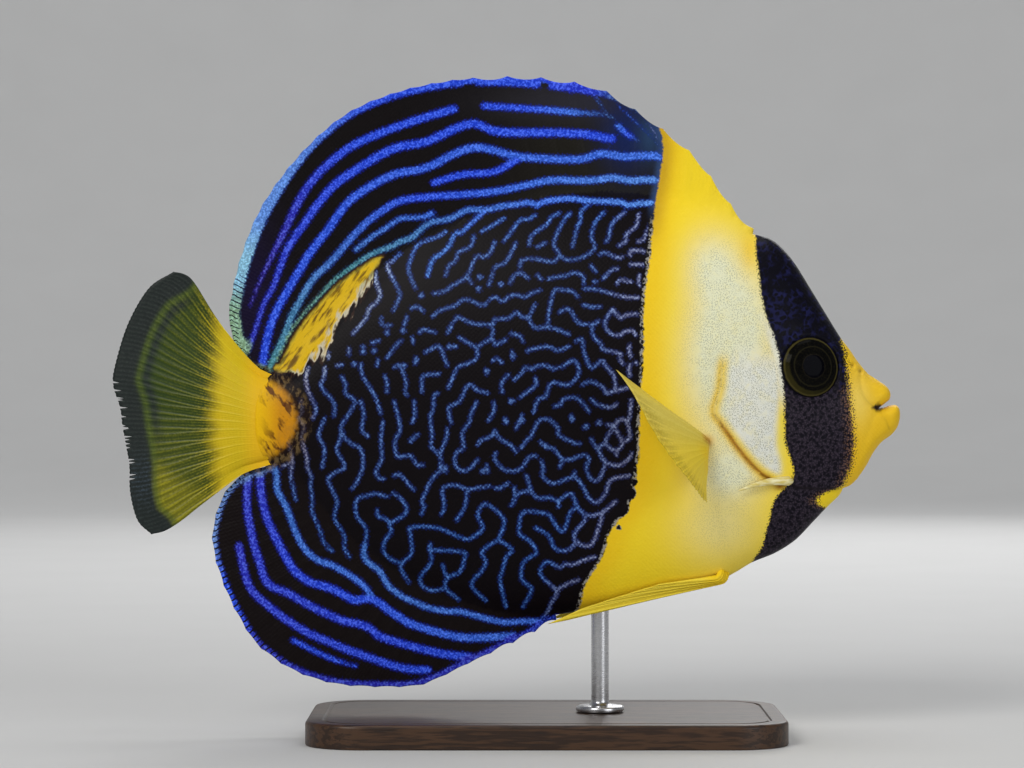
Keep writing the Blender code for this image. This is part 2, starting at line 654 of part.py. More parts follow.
def make_gill_covers(pieces, skins):
    """Both gill covers, and the recesses in the head that they lie in."""
    gill = smooth_path(GILL_OPENING, 2.1)
    front = smooth_path(COVER_FRONT, 2.1)
    rim, kinds = outline([(gill, CUT), (front[::-1], CUT)])
    flat, triangles = fill(rim, kinds, (), even_lattice(rim, 3.4))
    outer = cover(flat[:, 0], flat[:, 1])
    inner = flesh(flat[:, 0], flat[:, 1]) - COVER_THICK
    # The recess runs past the gill opening, so that no sliver of the head is left behind the cover
    recess = np.vstack([gill + np.array([-3.0, -1.0]), front[::-1]])
    wide, wide_triangles = fill(recess, [CUT] * len(recess), (), even_lattice(recess, 4.4))
    floor = flesh(wide[:, 0], wide[:, 1]) - COVER_THICK - GAP
    above = floor + 12.0
    cutters = []
    for side, name in ((-1, "gill_cover_right"), (1, "gill_cover_left")):
        pieces[name] = closed_between(name, flat, triangles, side * inner, side * outer,
                                      skins["silver"])
        cutters.append(closed_between("recess", wide, wide_triangles, side * floor, side * above))
    pieces["head"] = carve(pieces["head"], cutters)


def make_eyes(pieces, skins):
    """The eyes, square to the skin and proud of their sockets, and the nostrils before them."""
    cutters = []
    for side, name in ((-1, "eye_right"), (1, "eye_left")):
        place = seat_of(EYE, side, EYE_PROUD - EYE_DEPTH)
        radii = np.array([EYE_RADIUS, EYE_RADIUS, EYE_DEPTH])
        pieces[name] = ellipsoid(name, place, radii, 22, 10, skins["eye"])
        cutters.append(ellipsoid("socket", place, radii + GAP, 22, 10))
        for nostril in NOSTRILS:
            dimple = np.array([NOSTRIL_RADIUS, NOSTRIL_RADIUS, 1.0])
            cutters.append(ellipsoid("nostril", seat_of(nostril, side, 0.0), dimple, 8, 6))
    pieces["head"] = carve(pieces["head"], cutters)


def make_cheek_spines(pieces, skins):
    """The spine at the lower corner of each cheek, pointing back over the gill cover."""
    low, high = (SPINE_TIP[0] - 4, SPINE_TIP[1] - 5), (SPINE_ROOT[0] + 6, SPINE_ROOT[1] + 6)
    for side, name in ((-1, "cheek_spine_right"), (1, "cheek_spine_left")):
        points, faces, around = [], [], 8
        steps = 6
        for i in range(steps + 1):
            t = i / steps
            x = SPINE_ROOT[0] + (SPINE_TIP[0] - SPINE_ROOT[0]) * t
            z = SPINE_ROOT[1] + (SPINE_TIP[1] - SPINE_ROOT[1]) * t + 0.9 * math.sin(math.pi * t)
            radius = SPINE_RADIUS * (1 - t) ** 0.7 + 0.2
            y = side * (flesh_at(x, z) + COVER_RISE + t)
            for k in range(around):
                turn = 2 * math.pi * k / around
                points.append((x, y + radius * math.sin(turn), z + radius * math.cos(turn)))
        for i in range(steps):
            for k in range(around):
                a, b = i * around + k, i * around + (k + 1) % around
                faces.append((a, b, b + around, a + around))
        faces.append(tuple(range(around))[::-1])
        faces.append(tuple(steps * around + k for k in range(around)))
        spine = solid(name, points, faces, skins["yellow"])
        pieces[name] = carve(spine, [body_mould(side, low, high, cover, 0.9)])


def make_middle_fins(pieces, skins):
    """Dorsal, anal and tail fins."""
    fine = 0.6
    dorsal_base = smooth_path(DORSAL_BASE, fine)
    dorsal_base = dorsal_base[(dorsal_base[:, 0] < 61.0) & (dorsal_base[:, 0] > -57.5)]
    dorsal_base = dorsal_base + outward(dorsal_base, 1) * GAP / 2
    dorsal_margin = smooth_path(DORSAL_MARGIN, fine)
    anal_base = smooth_path(ANAL_BASE, fine)
    anal_base = anal_base[(anal_base[:, 0] < 11.8) & (anal_base[:, 0] > -57.0)]
    anal_base = anal_base + outward(anal_base, -1) * GAP / 2
    anal_margin = smooth_path(ANAL_MARGIN, fine)

    def straight(a, b):
        return np.array([a, b])

    dorsal = (straight(dorsal_base[0], dorsal_margin[0]),
              straight(dorsal_base[-1], dorsal_margin[-1]), dorsal_base, dorsal_margin)
    anal = (straight(anal_base[0], anal_margin[0]),
            straight(anal_base[-1], anal_margin[-1]), anal_base, anal_margin)
    tail_x = TAIL_ROOT_X - GAP / 2
    tail = (smooth_path(TAIL_TOP_EDGE, fine), smooth_path(TAIL_LOW_EDGE, fine),
            straight((tail_x, 88.6), (tail_x, 69.4)), smooth_path(TAIL_MARGIN, fine))

    def top_half(x, _):
        return float(through(TOP_EDGE, x))

    def low_half(x, _):
        return float(through(LOW_EDGE, x))

    def rear_wave(u, v):
        """The rear of the fin sways a little, as it does on a living fish."""
        return 1.6 * v * v * max(0.0, u - 0.5) * 2 * math.sin(9.0 * u)

    def tail_wave(u, v):
        return 1.8 * v * v * math.sin(math.pi * (1.2 * u + 0.2))

    parting = 0.0016
    pieces["dorsal_fin_spiny"] = middle_fin(
        "dorsal_fin_spiny", dorsal, (0.0, SPINY_SHARE - parting),
        ray_columns(DORSAL_SPINES, DORSAL_SPINES), top_half, rear_wave, skins["scribble"], rows=6)
    pieces["dorsal_fin_soft"] = middle_fin(
        "dorsal_fin_soft", dorsal, (SPINY_SHARE + parting, 1.0),
        ray_columns(DORSAL_RAYS), top_half, rear_wave, skins["scribble"])
    pieces["anal_fin"] = middle_fin(
        "anal_fin", anal, (0.0, 1.0), ray_columns(ANAL_SPINES + ANAL_RAYS, ANAL_SPINES),
        low_half, rear_wave, skins["scribble"])
    pieces["tail_fin"] = middle_fin(
        "tail_fin", tail, (0.0, 1.0), ray_columns(TAIL_RAYS), flesh_at, tail_wave,
        skins["yellow"], rows=8)


def outward(line, side):
    """Unit normals of a line in the mid-plane, up for side 1 and down for side -1."""
    along = np.gradient(line, axis=0)
    normal = np.column_stack([-along[:, 1], along[:, 0]]) / np.hypot(*along.T)[:, None]
    return normal * np.where(normal[:, 1:] * side > 0, 1.0, -1.0)


def make_paired_fins(pieces, skins):
    """Pectoral and pelvic fins, seated on the skin that they grow from."""
    for side, word in ((-1, "right"), (1, "left")):
        def flank(place):
            level = shoulder(np.array([place.x]), np.array([place.z]))[0]
            return Vector((place.x, side * (float(level) + GAP), place.z))

        def belly(place):
            return Vector((place.x, place.y, belly_at(place.x, abs(place.y)) - GAP * 1.2))

        rays = []
        for k in range(PECTORAL_RAYS):
            t = k / (PECTORAL_RAYS - 1)
            turn = math.radians(float(through(PECTORAL_TURN, t)))
            flare = math.radians(float(through(PECTORAL_FLARE, t)))
            direction = Vector((math.cos(turn) * math.cos(flare), side * math.sin(flare),
                                math.sin(turn) * math.cos(flare)))
            rays.append((direction, float(through(PECTORAL_LENGTH, t))))
        roots = (Vector((49.2, 0, 74.4)), Vector((48.6, 0, 67.4)))
        name = f"pectoral_fin_{word}"
        pieces[name] = fan_fin(name, roots, rays, flank, Vector((0, side, 0)), 0.95,
                               skins["fin"])

        rays = []
        for down, flare, length in PELVIC_RAYS:
            down, flare = math.radians(down), math.radians(flare)
            rays.append((Vector((-math.cos(down), side * math.sin(flare), -math.sin(down))),
                         length))
        roots = [Vector((x, side * y, 40)) for x, y in PELVIC_ROOT]
        name = f"pelvic_fin_{word}"
        pieces[name] = fan_fin(name, roots, rays, belly, Vector((0, side * 0.6, -0.8)), 0.8,
                               skins["fin"], bend=1.5)


def make_stand(pieces, skins):
    """A flat base, and a rod with a round foot that rises into the belly."""
    bpy.ops.mesh.primitive_cube_add(size=1)
    base = bpy.context.object
    base.name = base.data.name = "stand_base"
    base.data.transform(Matrix.Diagonal((BASE_LENGTH * MM, BASE_WIDTH * MM, BASE_HEIGHT * MM, 1)))
    base.data.transform(Matrix.Translation((BASE_CENTRE_X * MM, 0, BASE_HEIGHT * MM / 2)))
    corners = base.data.attributes.new("bevel_weight_edge", "FLOAT", "EDGE")
    for edge in base.data.edges:
        a, b = (base.data.vertices[k].co for k in edge.vertices)
        corners.data[edge.index].value = float(abs(a.z - b.z) > abs(a.x - b.x) + abs(a.y - b.y))
    rounding = base.modifiers.new("corners", "BEVEL")
    rounding.limit_method = "WEIGHT"
    rounding.width = BASE_CORNER * MM
    rounding.segments = 6
    edging = base.modifiers.new("edges", "BEVEL")
    edging.width = 0.8 * MM
    edging.segments = 2
    edging.angle_limit = math.radians(60)
    base.data.materials.append(skins["wood"])
    pieces["stand_base"] = base

    belly = float(through(BELLY_LEVEL, ROD_X))
    top = belly + ROD_SUNK
    foot = BASE_HEIGHT + GAP
    profile = [(FOOT_RADIUS, foot), (FOOT_RADIUS, foot + FOOT_HEIGHT * 0.6),
               (FOOT_RADIUS - 0.6, foot + FOOT_HEIGHT), (ROD_RADIUS, foot + FOOT_HEIGHT),
               (ROD_RADIUS, top)]
    pieces["stand_rod"] = turned("stand_rod", profile, 20, skins["steel"])
    hole = [(ROD_RADIUS + GAP, belly - 4.0), (ROD_RADIUS + GAP, top + GAP)]
    pieces["torso"] = carve(pieces["torso"], [turned("socket", hole, 20)])


def turned(name, profile, around, material=None):
    """A solid turned about the rod's axis from (radius, height) pairs, lowest first."""
    shell = bmesh.new()
    line = [(0, profile[0][1]), *profile, (0, profile[-1][1])]
    corners = [shell.verts.new(Vector((ROD_X + radius, 0, z)) * MM) for radius, z in line]
    edges = [shell.edges.new(pair) for pair in zip(corners, corners[1:])]
    bmesh.ops.spin(shell, geom=corners + edges, cent=(ROD_X * MM, 0, 0), axis=(0, 0, 1),
                   angle=2 * math.pi, steps=around)
    bmesh.ops.remove_doubles(shell, verts=shell.verts, dist=1e-6)
    return finished(name, shell, material)


def main():
    for thing in list(bpy.data.objects):
        bpy.data.objects.remove(thing)
    skins = {
        "mask": paint("dark mask", (0.02, 0.02, 0.06), 0.4),
        "scribble": paint("scribbled blue", (0.02, 0.04, 0.22), 0.4),
        "yellow": paint("yellow skin", (0.85, 0.6, 0.03), 0.4),
        "silver": paint("silver skin", (0.75, 0.74, 0.62), 0.35),
        "fin": paint("yellow fin", (0.86, 0.72, 0.12), 0.35),
        "eye": paint("eye", (0.01, 0.01, 0.015), 0.08),
        "wood": paint("dark wood", (0.09, 0.045, 0.025), 0.4),
        "steel": paint("brushed steel", (0.6, 0.6, 0.62), 0.3, 1.0),
    }
    pieces = make_body(skins)
    make_gill_covers(pieces, skins)
    make_eyes(pieces, skins)
    make_cheek_spines(pieces, skins)
    make_middle_fins(pieces, skins)
    make_paired_fins(pieces, skins)
    make_stand(pieces, skins)


main()
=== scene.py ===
"""The looks of a life-size scribbled angelfish on a display stand.

Skin, fins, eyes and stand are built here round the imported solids, in their frame. Places in the
mid-plane of the fish are (x, z) in millimetres, as is every named size, and meshes are in metres.
"""

import logging
import math
from dataclasses import dataclass
from enum import Enum

import bpy
import numpy as np
from mathutils import Matrix, Vector, geometry, kdtree


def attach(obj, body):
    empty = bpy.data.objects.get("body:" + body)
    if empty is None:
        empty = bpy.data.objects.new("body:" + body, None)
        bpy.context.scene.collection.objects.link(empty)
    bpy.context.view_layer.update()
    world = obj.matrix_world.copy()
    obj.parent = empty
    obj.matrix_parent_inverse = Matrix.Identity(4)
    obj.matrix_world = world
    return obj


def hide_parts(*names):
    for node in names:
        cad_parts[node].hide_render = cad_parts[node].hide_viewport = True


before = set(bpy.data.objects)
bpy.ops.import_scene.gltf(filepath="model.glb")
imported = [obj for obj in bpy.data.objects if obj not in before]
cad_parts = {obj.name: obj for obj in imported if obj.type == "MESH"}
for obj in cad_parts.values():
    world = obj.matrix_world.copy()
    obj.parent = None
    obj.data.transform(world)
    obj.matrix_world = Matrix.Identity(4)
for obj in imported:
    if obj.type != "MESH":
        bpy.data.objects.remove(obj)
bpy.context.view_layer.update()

log = logging.getLogger("angelfish")

MM = 0.001
Array = np.ndarray
Pairs = tuple[tuple[float, float], ...]
Colour = tuple[float, float, float]

# Outlines in the mid-plane, each a smooth line through its points
NAPE = (61.75, 125.5)
FOREHEAD: Pairs = (NAPE, (66.0, 124.3), (69.0, 122.0), (72.3, 118.0), (76.0, 112.0), (79.8, 105.8),
                   (83.5, 99.8), (86.0, 96.5), (88.0, 93.5), (90.5, 90.5))
UPPER_LIP: Pairs = ((90.5, 90.5), (93.3, 88.7), (95.3, 87.2), (96.1, 85.6), (95.9, 84.2),
                    (94.9, 83.3), (93.2, 82.0))
LOWER_LIP: Pairs = ((93.2, 82.0), (94.6, 82.2), (96.2, 82.7), (97.5, 82.7), (98.3, 81.8),
                    (98.5, 80.0), (98.0, 77.6), (96.5, 75.5), (93.8, 73.4), (91.8, 70.8),
                    (90.0, 67.5), (87.9, 64.4))
CHIN: Pairs = ((87.9, 64.4), (86.2, 62.8), (84.2, 61.9))
BELLY: Pairs = ((84.2, 61.9), (83.3, 60.2), (80.0, 57.0), (76.5, 53.3), (72.3, 49.0), (67.3, 45.8),
                (61.5, 43.4), (57.3, 40.9), (52.3, 38.4), (46.0, 36.3), (38.5, 34.5), (28.5, 32.7),
                (18.5, 31.2), (12.5, 30.3))
ANAL_BASE: Pairs = ((12.5, 30.3), (3.5, 30.6), (-6.5, 32.5), (-16.5, 36.0), (-26.5, 41.0),
                    (-35.3, 47.0), (-42.8, 54.0), (-48.5, 61.0), (-52.0, 65.7), (-55.3, 68.1),
                    (-60.3, 68.8))
DORSAL_BASE: Pairs = (NAPE, (57.3, 128.5), (52.3, 131.2), (46.0, 133.2), (38.5, 134.7),
                      (31.0, 135.7), (23.5, 136.0), (13.5, 135.3), (3.5, 133.2), (-6.5, 130.2),
                      (-16.5, 126.0), (-26.5, 120.0), (-35.3, 113.0), (-42.8, 105.3),
                      (-49.0, 97.2), (-53.0, 92.0), (-56.5, 89.8), (-60.3, 89.4))
DORSAL_MARGIN: Pairs = ((61.9, 126.9), (57.3, 131.7), (50.5, 141.0), (46.0, 146.3), (37.3, 153.3),
                        (28.5, 159.2), (22.5, 162.4), (11.0, 164.5), (0.0, 165.0), (-14.0, 164.0),
                        (-27.8, 161.0), (-40.3, 155.5), (-51.5, 145.7), (-61.0, 133.0),
                        (-66.5, 120.0), (-69.5, 107.0), (-69.2, 103.0), (-68.5, 99.0),
                        (-66.6, 96.2), (-63.6, 92.8), (-59.9, 91.0))
ANAL_MARGIN: Pairs = ((12.6, 29.0), (4.0, 24.3), (-8.5, 18.5), (-18.0, 13.9), (-24.0, 12.3),
                      (-37.8, 12.4), (-46.0, 13.7), (-53.5, 16.5), (-59.5, 20.5), (-64.0, 25.0),
                      (-70.2, 36.5), (-73.6, 48.5), (-71.9, 57.9), (-68.6, 63.2), (-64.5, 66.2),
                      (-60.2, 67.3))
TAIL_X = -60.3  # where the rays of the tail begin
TAIL_TOP_EDGE: Pairs = ((TAIL_X, 90.9), (-62.0, 92.2), (-65.0, 95.2), (-69.5, 100.6),
                        (-73.3, 105.9), (-78.0, 113.4), (-80.5, 115.5), (-83.3, 116.1))
TAIL_LOW_EDGE: Pairs = ((TAIL_X, 67.3), (-62.5, 66.8), (-65.5, 65.6), (-68.5, 63.6),
                        (-76.5, 57.5), (-81.0, 53.9), (-85.0, 51.4), (-88.5, 50.5))
TAIL_LEVEL = 79.0
TAIL_MARGIN: Pairs = ((-83.3, 116.1), (-89.5, 112.0), (-94.8, 103.0), (-98.0, 92.5),
                      (-98.4, 87.7), (-96.6, 82.0), (-95.9, 77.0), (-94.2, 68.0), (-93.9, 61.0),
                      (-92.0, 54.0), (-88.5, 50.5))
# The scaled skin ends in an arc over the roots of the tail's rays
TAIL_ARC: Pairs = ((-59.9, 91.0), (-60.5, 89.5), (-61.6, 87.2), (-62.6, 83.5), (-62.9, 79.0),
                   (-62.6, 74.5), (-61.6, 71.0), (-60.5, 68.8), (-60.2, 67.3))

GILL_OPENING: Pairs = ((54.5, 97.8), (53.2, 92.5), (52.7, 87.0), (51.2, 81.3), (53.0, 78.2),
                       (56.2, 73.6), (59.5, 69.5), (62.8, 66.2), (66.3, 64.1), (70.3, 62.9))
GILL_MEMBRANE: Pairs = ((70.3, 62.9), (76.0, 62.1), (81.0, 62.0), (84.2, 61.9))
CHEEK_EDGE: Pairs = ((63.5, 101.0), (66.8, 97.5), (68.4, 88.0), (69.0, 76.0), (69.8, 67.0),
                     (71.5, 63.6))
MOUTH_CREASE: Pairs = ((88.6, 91.2), (88.2, 88.4), (89.2, 84.6), (91.4, 82.4), (93.2, 82.0))
LIP_CREASE: Pairs = ((93.2, 82.0), (93.9, 80.2), (94.8, 78.6), (95.4, 76.8))
JAW_CREASE: Pairs = ((92.0, 80.8), (90.3, 76.5), (88.6, 71.0), (87.4, 66.0))
NOSTRILS: Pairs = ((86.2, 92.6), (88.3, 91.2))
EYE = (75.3, 92.2)
EYE_RADIUS, EYE_DEPTH, EYE_PROUD = 7.8, 3.4, 2.2

DORSAL_SPINES, DORSAL_RAYS, SPINY_SHARE = 10, 21, 0.43
ANAL_SPINES, ANAL_RAYS = 3, 20
TAIL_RAYS = 17
# The root's ends as x and y, then each ray's angle downward, angle outward and length
PELVIC_ROOT = ((55.2, 1.9), (53.0, 4.4))
PELVIC_RAYS = ((13.8, 4.0, 30.0), (13.6, 4.5, 45.7), (11.3, 4.5, 36.5), (10.0, 4.5, 28.3),
               (8.5, 4.5, 21.0), (6.6, 5.0, 14.6))
PECTORAL_RAYS = 15
PECTORAL_ROOT = ((49.2, 74.4), (48.6, 67.4))
# From the pectoral fin's first ray to its last: angle, flare from the flank, length
PECTORAL_TURN: Pairs = ((0.0, 142.7), (0.1, 146.0), (0.2, 156.0), (0.35, 183.0), (0.5, 216.0),
                        (0.7, 246.0), (1.0, 272.0))
PECTORAL_FLARE: Pairs = ((0.0, 17.0), (0.1, 36.0), (0.2, 49.0), (0.35, 62.0), (0.5, 65.0),
                         (0.7, 60.0), (1.0, 44.0))
PECTORAL_LENGTH: Pairs = ((0.0, 29.5), (0.1, 28.2), (0.2, 25.8), (0.35, 21.5), (0.5, 18.0),
                          (0.7, 15.0), (1.0, 11.5))
MEMBRANE = 0.28
RAY_RISE, SPINE_RISE = 0.3, 0.45


class Side(Enum):
    """A side of the fish, by the sign of its Y."""

    RIGHT = -1
    LEFT = 1

    @property
    def word(self) -> str:
        """Its word in the names of pieces and nodes."""
        return self.name.lower()


class Region(Enum):
    """What a place of the skin belongs to."""

    BODY = 0
    DORSAL = 1
    ANAL = 2


def through(pairs: Pairs, x: Array | float) -> Array:
    """Reads the smooth curve through (position, value) pairs.

    Args:
        pairs: Positions in rising order, each with its value.
        x: Where the curve is read.

    Returns:
        The values there, held level past both ends.
    """
    table = np.array(pairs, float)
    at, value = table[:, 0], table[:, 1]
    slope = np.gradient(value, at)
    x = np.clip(x, at[0], at[-1])
    i = np.clip(np.searchsorted(at, x) - 1, 0, len(at) - 2)
    step = at[i + 1] - at[i]
    t = (x - at[i]) / step
    return (
        value[i] * (1 + 2 * t) * (1 - t) ** 2
        + slope[i] * step * t * (1 - t) ** 2
        + value[i + 1] * t * t * (3 - 2 * t)
        + slope[i + 1] * step * t * t * (t - 1)
    )


def evenly(line: Array, spacing: float) -> Array:
    """Resamples a line.

    Args:
        line: Its points in order.
        spacing: How far apart the new points lie.

    Returns:
        The new points.
    """
    length = np.concatenate([[0], np.cumsum(np.hypot(*np.diff(line, axis=0).T))])
    at = np.linspace(0, length[-1], max(2, int(round(length[-1] / spacing)) + 1))
    return np.column_stack([np.interp(at, length, line[:, k]) for k in (0, 1)])


def on_line(line: Array, share: Array) -> Array:
    """Places at shares along a line, whose stretches all count the same."""
    index = np.linspace(0, 1, len(line))
    return np.column_stack([np.interp(share, index, line[:, k]) for k in (0, 1)])


def smooth_path(points: Pairs, spacing: float) -> Array:
    """Runs a Catmull-Rom line through points.

    Args:
        points: The points in order.
        spacing: How far apart the returned points lie.

    Returns:
        Points along the line.
    """
    p = np.array(points, float)
    p = np.vstack([2 * p[0] - p[1], p, 2 * p[-1] - p[-2]])
    fine = []
    for a, b, c, d in zip(p, p[1:], p[2:], p[3:]):
        for t in np.linspace(0, 1, 12, endpoint=False):
            fine.append(
                0.5 * (2 * b + (c - a) * t + (2 * a - 5 * b + 4 * c - d) * t**2
                       + (3 * b - a - 3 * c + d) * t**3)
            )
    return evenly(np.array(fine + [p[-2]]), spacing)


def joined(lines: tuple[Pairs, ...], spacing: float) -> Array:
    """One line through the given ones, each of which starts where the last ends."""
    paths = [smooth_path(line, spacing) for line in lines]
    return np.vstack([path[:-1] for path in paths[:-1]] + [paths[-1]])


def inside(points: Array, polygon: Array) -> Array:
    """Tells which points lie inside a closed polygon.

    Args:
        points: The points, one a row.
        polygon: Its corners in order.

    Returns:
        Whether each point lies inside.
    """
    x, z = points[:, 0], points[:, 1]
    found = np.zeros(len(points), bool)
    for (x0, z0), (x1, z1) in zip(polygon, np.roll(polygon, -1, axis=0)):
        if z0 == z1:
            continue
        crossing = (z0 > z) != (z1 > z)
        found ^= crossing & (x < x0 + (z - z0) * (x1 - x0) / (z1 - z0))
    return found


def rise(value: Array, low: float, high: float) -> Array:
    """0 below low, 1 above high and a smooth step between, or the other way where low is larger."""
    t = np.clip((value - low) / (high - low), 0, 1)
    return t * t * (3 - 2 * t)


def mound(x: Array, z: Array, at: tuple[float, float], reach: tuple[float, float]) -> Array:
    """A soft mound of height 1 round a place of the mid-plane."""
    return np.exp(-(((x - at[0]) / reach[0]) ** 2) - ((z - at[1]) / reach[1]) ** 2)


def mounds(x: Array, z: Array, *rows: tuple[float, ...]) -> Array:
    """The sum of soft mounds, each given as x, z, its reach along both and its height."""
    return sum(row[4] * mound(x, z, row[:2], row[2:4]) for row in rows)


def leftward(along: Array) -> Array:
    """Directions of length 1, a quarter turn to the left of others."""
    return np.column_stack([-along[:, 1], along[:, 0]]) / np.hypot(*along.T)[:, None]


def circle(middle: tuple[float, float], radius: float, count: int) -> Array:
    """Places round a circle of the mid-plane."""
    turn = np.linspace(0, 2 * np.pi, count, endpoint=False)
    return np.column_stack([middle[0] + radius * np.cos(turn), middle[1] + radius * np.sin(turn)])


def tree_of(points: Array) -> kdtree.KDTree:
    """Makes a search tree of places in the mid-plane.

    Args:
        points: The places.

    Returns:
        The tree, which numbers them in their order.
    """
    tree = kdtree.KDTree(len(points))
    for index, point in enumerate(points.tolist()):
        tree.insert((*point, 0.0), index)
    tree.balance()
    return tree


def away_from(tree: kdtree.KDTree, places: Array) -> Array:
    """How far places lie from the nearest one of a tree."""
    return np.array([tree.find((*place, 0.0))[2] for place in places.tolist()])


def nearest(points: Array, places: Array) -> Array:
    """How far places lie from the nearest of many points."""
    return away_from(tree_of(points), places)


@dataclass(frozen=True)
class Trace:
    """An open line in the mid-plane.

    Attributes:
        points: Its points in order, in millimetres.
    """

    points: Array

    @classmethod
    def smooth(cls, points: Pairs, spacing: float = 1.0) -> "Trace":
        """The smooth line through points."""
        return cls(smooth_path(points, spacing))

    def measure(self, places: Array) -> tuple[Array, Array, Array]:
        """Measures places against the line.

        Args:
            places: The places, one a row.

        Returns:
            How far each lies from the line, the share of the way along the line where it is
            nearest, and 1 on the left of the line's course or -1 on the right.
        """
        best = np.full(len(places), np.inf)
        along, side = np.zeros(len(places)), np.ones(len(places))
        count = len(self.points) - 1
        for k, (a, b) in enumerate(zip(self.points, self.points[1:])):
            span = b - a
            t = np.clip(((places - a) @ span) / (span @ span), 0, 1)
            off = places - a - t[:, None] * span
            away = np.hypot(off[:, 0], off[:, 1])
            closer = away < best
            best[closer] = away[closer]
            along[closer] = (k + t[closer]) / count
            side[closer] = np.sign(span[0] * off[closer, 1] - span[1] * off[closer, 0])
        return best, along, side

    def distance(self, places: Array) -> Array:
        """How far places lie from the line."""
        return nearest(evenly(self.points, 0.2), places)


@dataclass(frozen=True)
class BodyForm:
    """The breadth of the body, read at places of the mid-plane.

    Attributes:
        width: Half the breadth along the fish.
        centre: The level of the greatest breadth along the fish.
        top_fullness: How full sections are above the centre: 0.5 is an ellipse.
        low_fullness: The same below the centre.
        top_edge: Half the thickness at the back.
        low_edge: Half the thickness at the belly.
        back: The outline of the back.
        belly: The outline of the belly.
        bulges: Soft swellings: x, z, reach along x, reach along z and rise.
    """

    width: Pairs = ((-60.3, 3.7), (-56.5, 4.3), (-51.5, 4.9), (-46.5, 5.4), (-39.0, 6.3),
                    (-26.5, 8.1), (-14.0, 9.9), (-1.5, 11.5), (11.0, 12.9), (23.5, 14.0),
                    (36.0, 14.6), (46.0, 14.6), (53.5, 14.1), (61.0, 13.2), (68.5, 11.8),
                    (73.5, 10.6), (78.5, 9.2), (83.5, 7.6), (87.0, 6.3), (91.0, 5.0),
                    (95.0, 4.1), (98.5, 3.2))
    centre: Pairs = ((-60.3, 79.0), (-26.5, 80.5), (-1.5, 82.0), (23.5, 84.0), (48.5, 86.5),
                     (61.0, 87.5), (73.5, 85.5), (83.5, 82.5), (93.5, 81.5), (98.5, 81.0))
    top_fullness: Pairs = ((-60.3, 0.55), (-50.0, 0.62), (-35.0, 0.8), (40.0, 0.82), (58.0, 0.7),
                           (66.0, 0.58), (80.0, 0.52), (98.5, 0.5))
    low_fullness: Pairs = ((-60.3, 0.55), (-50.0, 0.62), (-35.0, 0.8), (5.0, 0.76), (18.0, 0.62),
                           (45.0, 0.52), (98.5, 0.5))
    top_edge: Pairs = ((-60.3, 0.8), (-50.0, 1.1), (-30.0, 1.5), (0.0, 1.9), (35.0, 2.0),
                       (52.0, 1.6), (61.7, 0.9), (66.0, 0.5), (98.5, 0.4))
    low_edge: Pairs = ((-60.3, 0.8), (-50.0, 1.1), (-30.0, 1.5), (-5.0, 1.7), (12.5, 1.0),
                       (20.0, 0.5), (98.5, 0.4))
    back: Pairs = tuple(sorted(DORSAL_BASE[::-1] + FOREHEAD[1:] + ((95.0, 88.6), (98.5, 87.5))))
    belly: Pairs = tuple(sorted(ANAL_BASE + BELLY[1:-1] + ((84.2, 61.5), (88.0, 64.2),
                                (91.8, 69.5), (95.0, 73.5), (98.5, 76.0))))
    bulges: tuple[tuple[float, ...], ...] = ((61.5, 80.0, 8.0, 15.0, 0.7),
                                             (74.0, 102.0, 6.0, 3.5, 0.5))

    def half(self, x: Array, z: Array) -> Array:
        """Half the thickness at places, before any relief.

        Args:
            x: How far forward the places lie.
            z: Their levels.

        Returns:
            Half the thickness at each place.
        """
        top, low = through(self.back, x), through(self.belly, x)
        centre, width = through(self.centre, x), through(self.width, x)
        above = z > centre
        reach = np.where(above, (z - centre) / (top - centre), (centre - z) / (centre - low))
        fullness = np.where(above, through(self.top_fullness, x), through(self.low_fullness, x))
        edge = np.where(above, through(self.top_edge, x), through(self.low_edge, x))
        half = edge + (width - edge) * (1 - np.clip(reach, 0, 1) ** 2) ** fullness
        for at_x, at_z, along, up, height in self.bulges:
            half = half + height * mound(x, z, (at_x, at_z), (along, up))
        return half

    def at(self, x: float, z: float) -> float:
        """Half the thickness at one place."""
        return float(self.half(np.array([x]), np.array([z]))[0])

    def seat(self, place: tuple[float, float], side: Side, lift: float) -> Matrix:
        """Gives the frame of a piece set on the skin.

        Args:
            place: Where it sits, in the mid-plane.
            side: On which side.
            lift: How far above the skin its origin lies.

        Returns:
            The frame in millimetres, its Z along the skin's normal.
        """
        x, z = place
        step = 2.0
        slope_x = (self.at(x + step, z) - self.at(x - step, z)) / (2 * step)
        slope_z = (self.at(x, z + step) - self.at(x, z - step)) / (2 * step)
        normal = Vector((-slope_x, side.value, -slope_z)).normalized()
        turn = normal.to_track_quat("Z", "Y").to_matrix().to_4x4()
        return Matrix.Translation(Vector((x, side.value * self.at(x, z), z)) + normal * lift) @ turn

    def belly_level(self, x: float, half: float) -> float:
        """The level at which the belly is as thick as twice half.

        Args:
            x: How far forward.
            half: Half the thickness.

        Returns:
            The level.
        """
        low, high = float(through(self.belly, x)), float(through(self.centre, x))
        for _ in range(24):
            middle = (low + high) / 2
            if self.at(x, middle) < half:
                low = middle
            else:
                high = middle
        return high


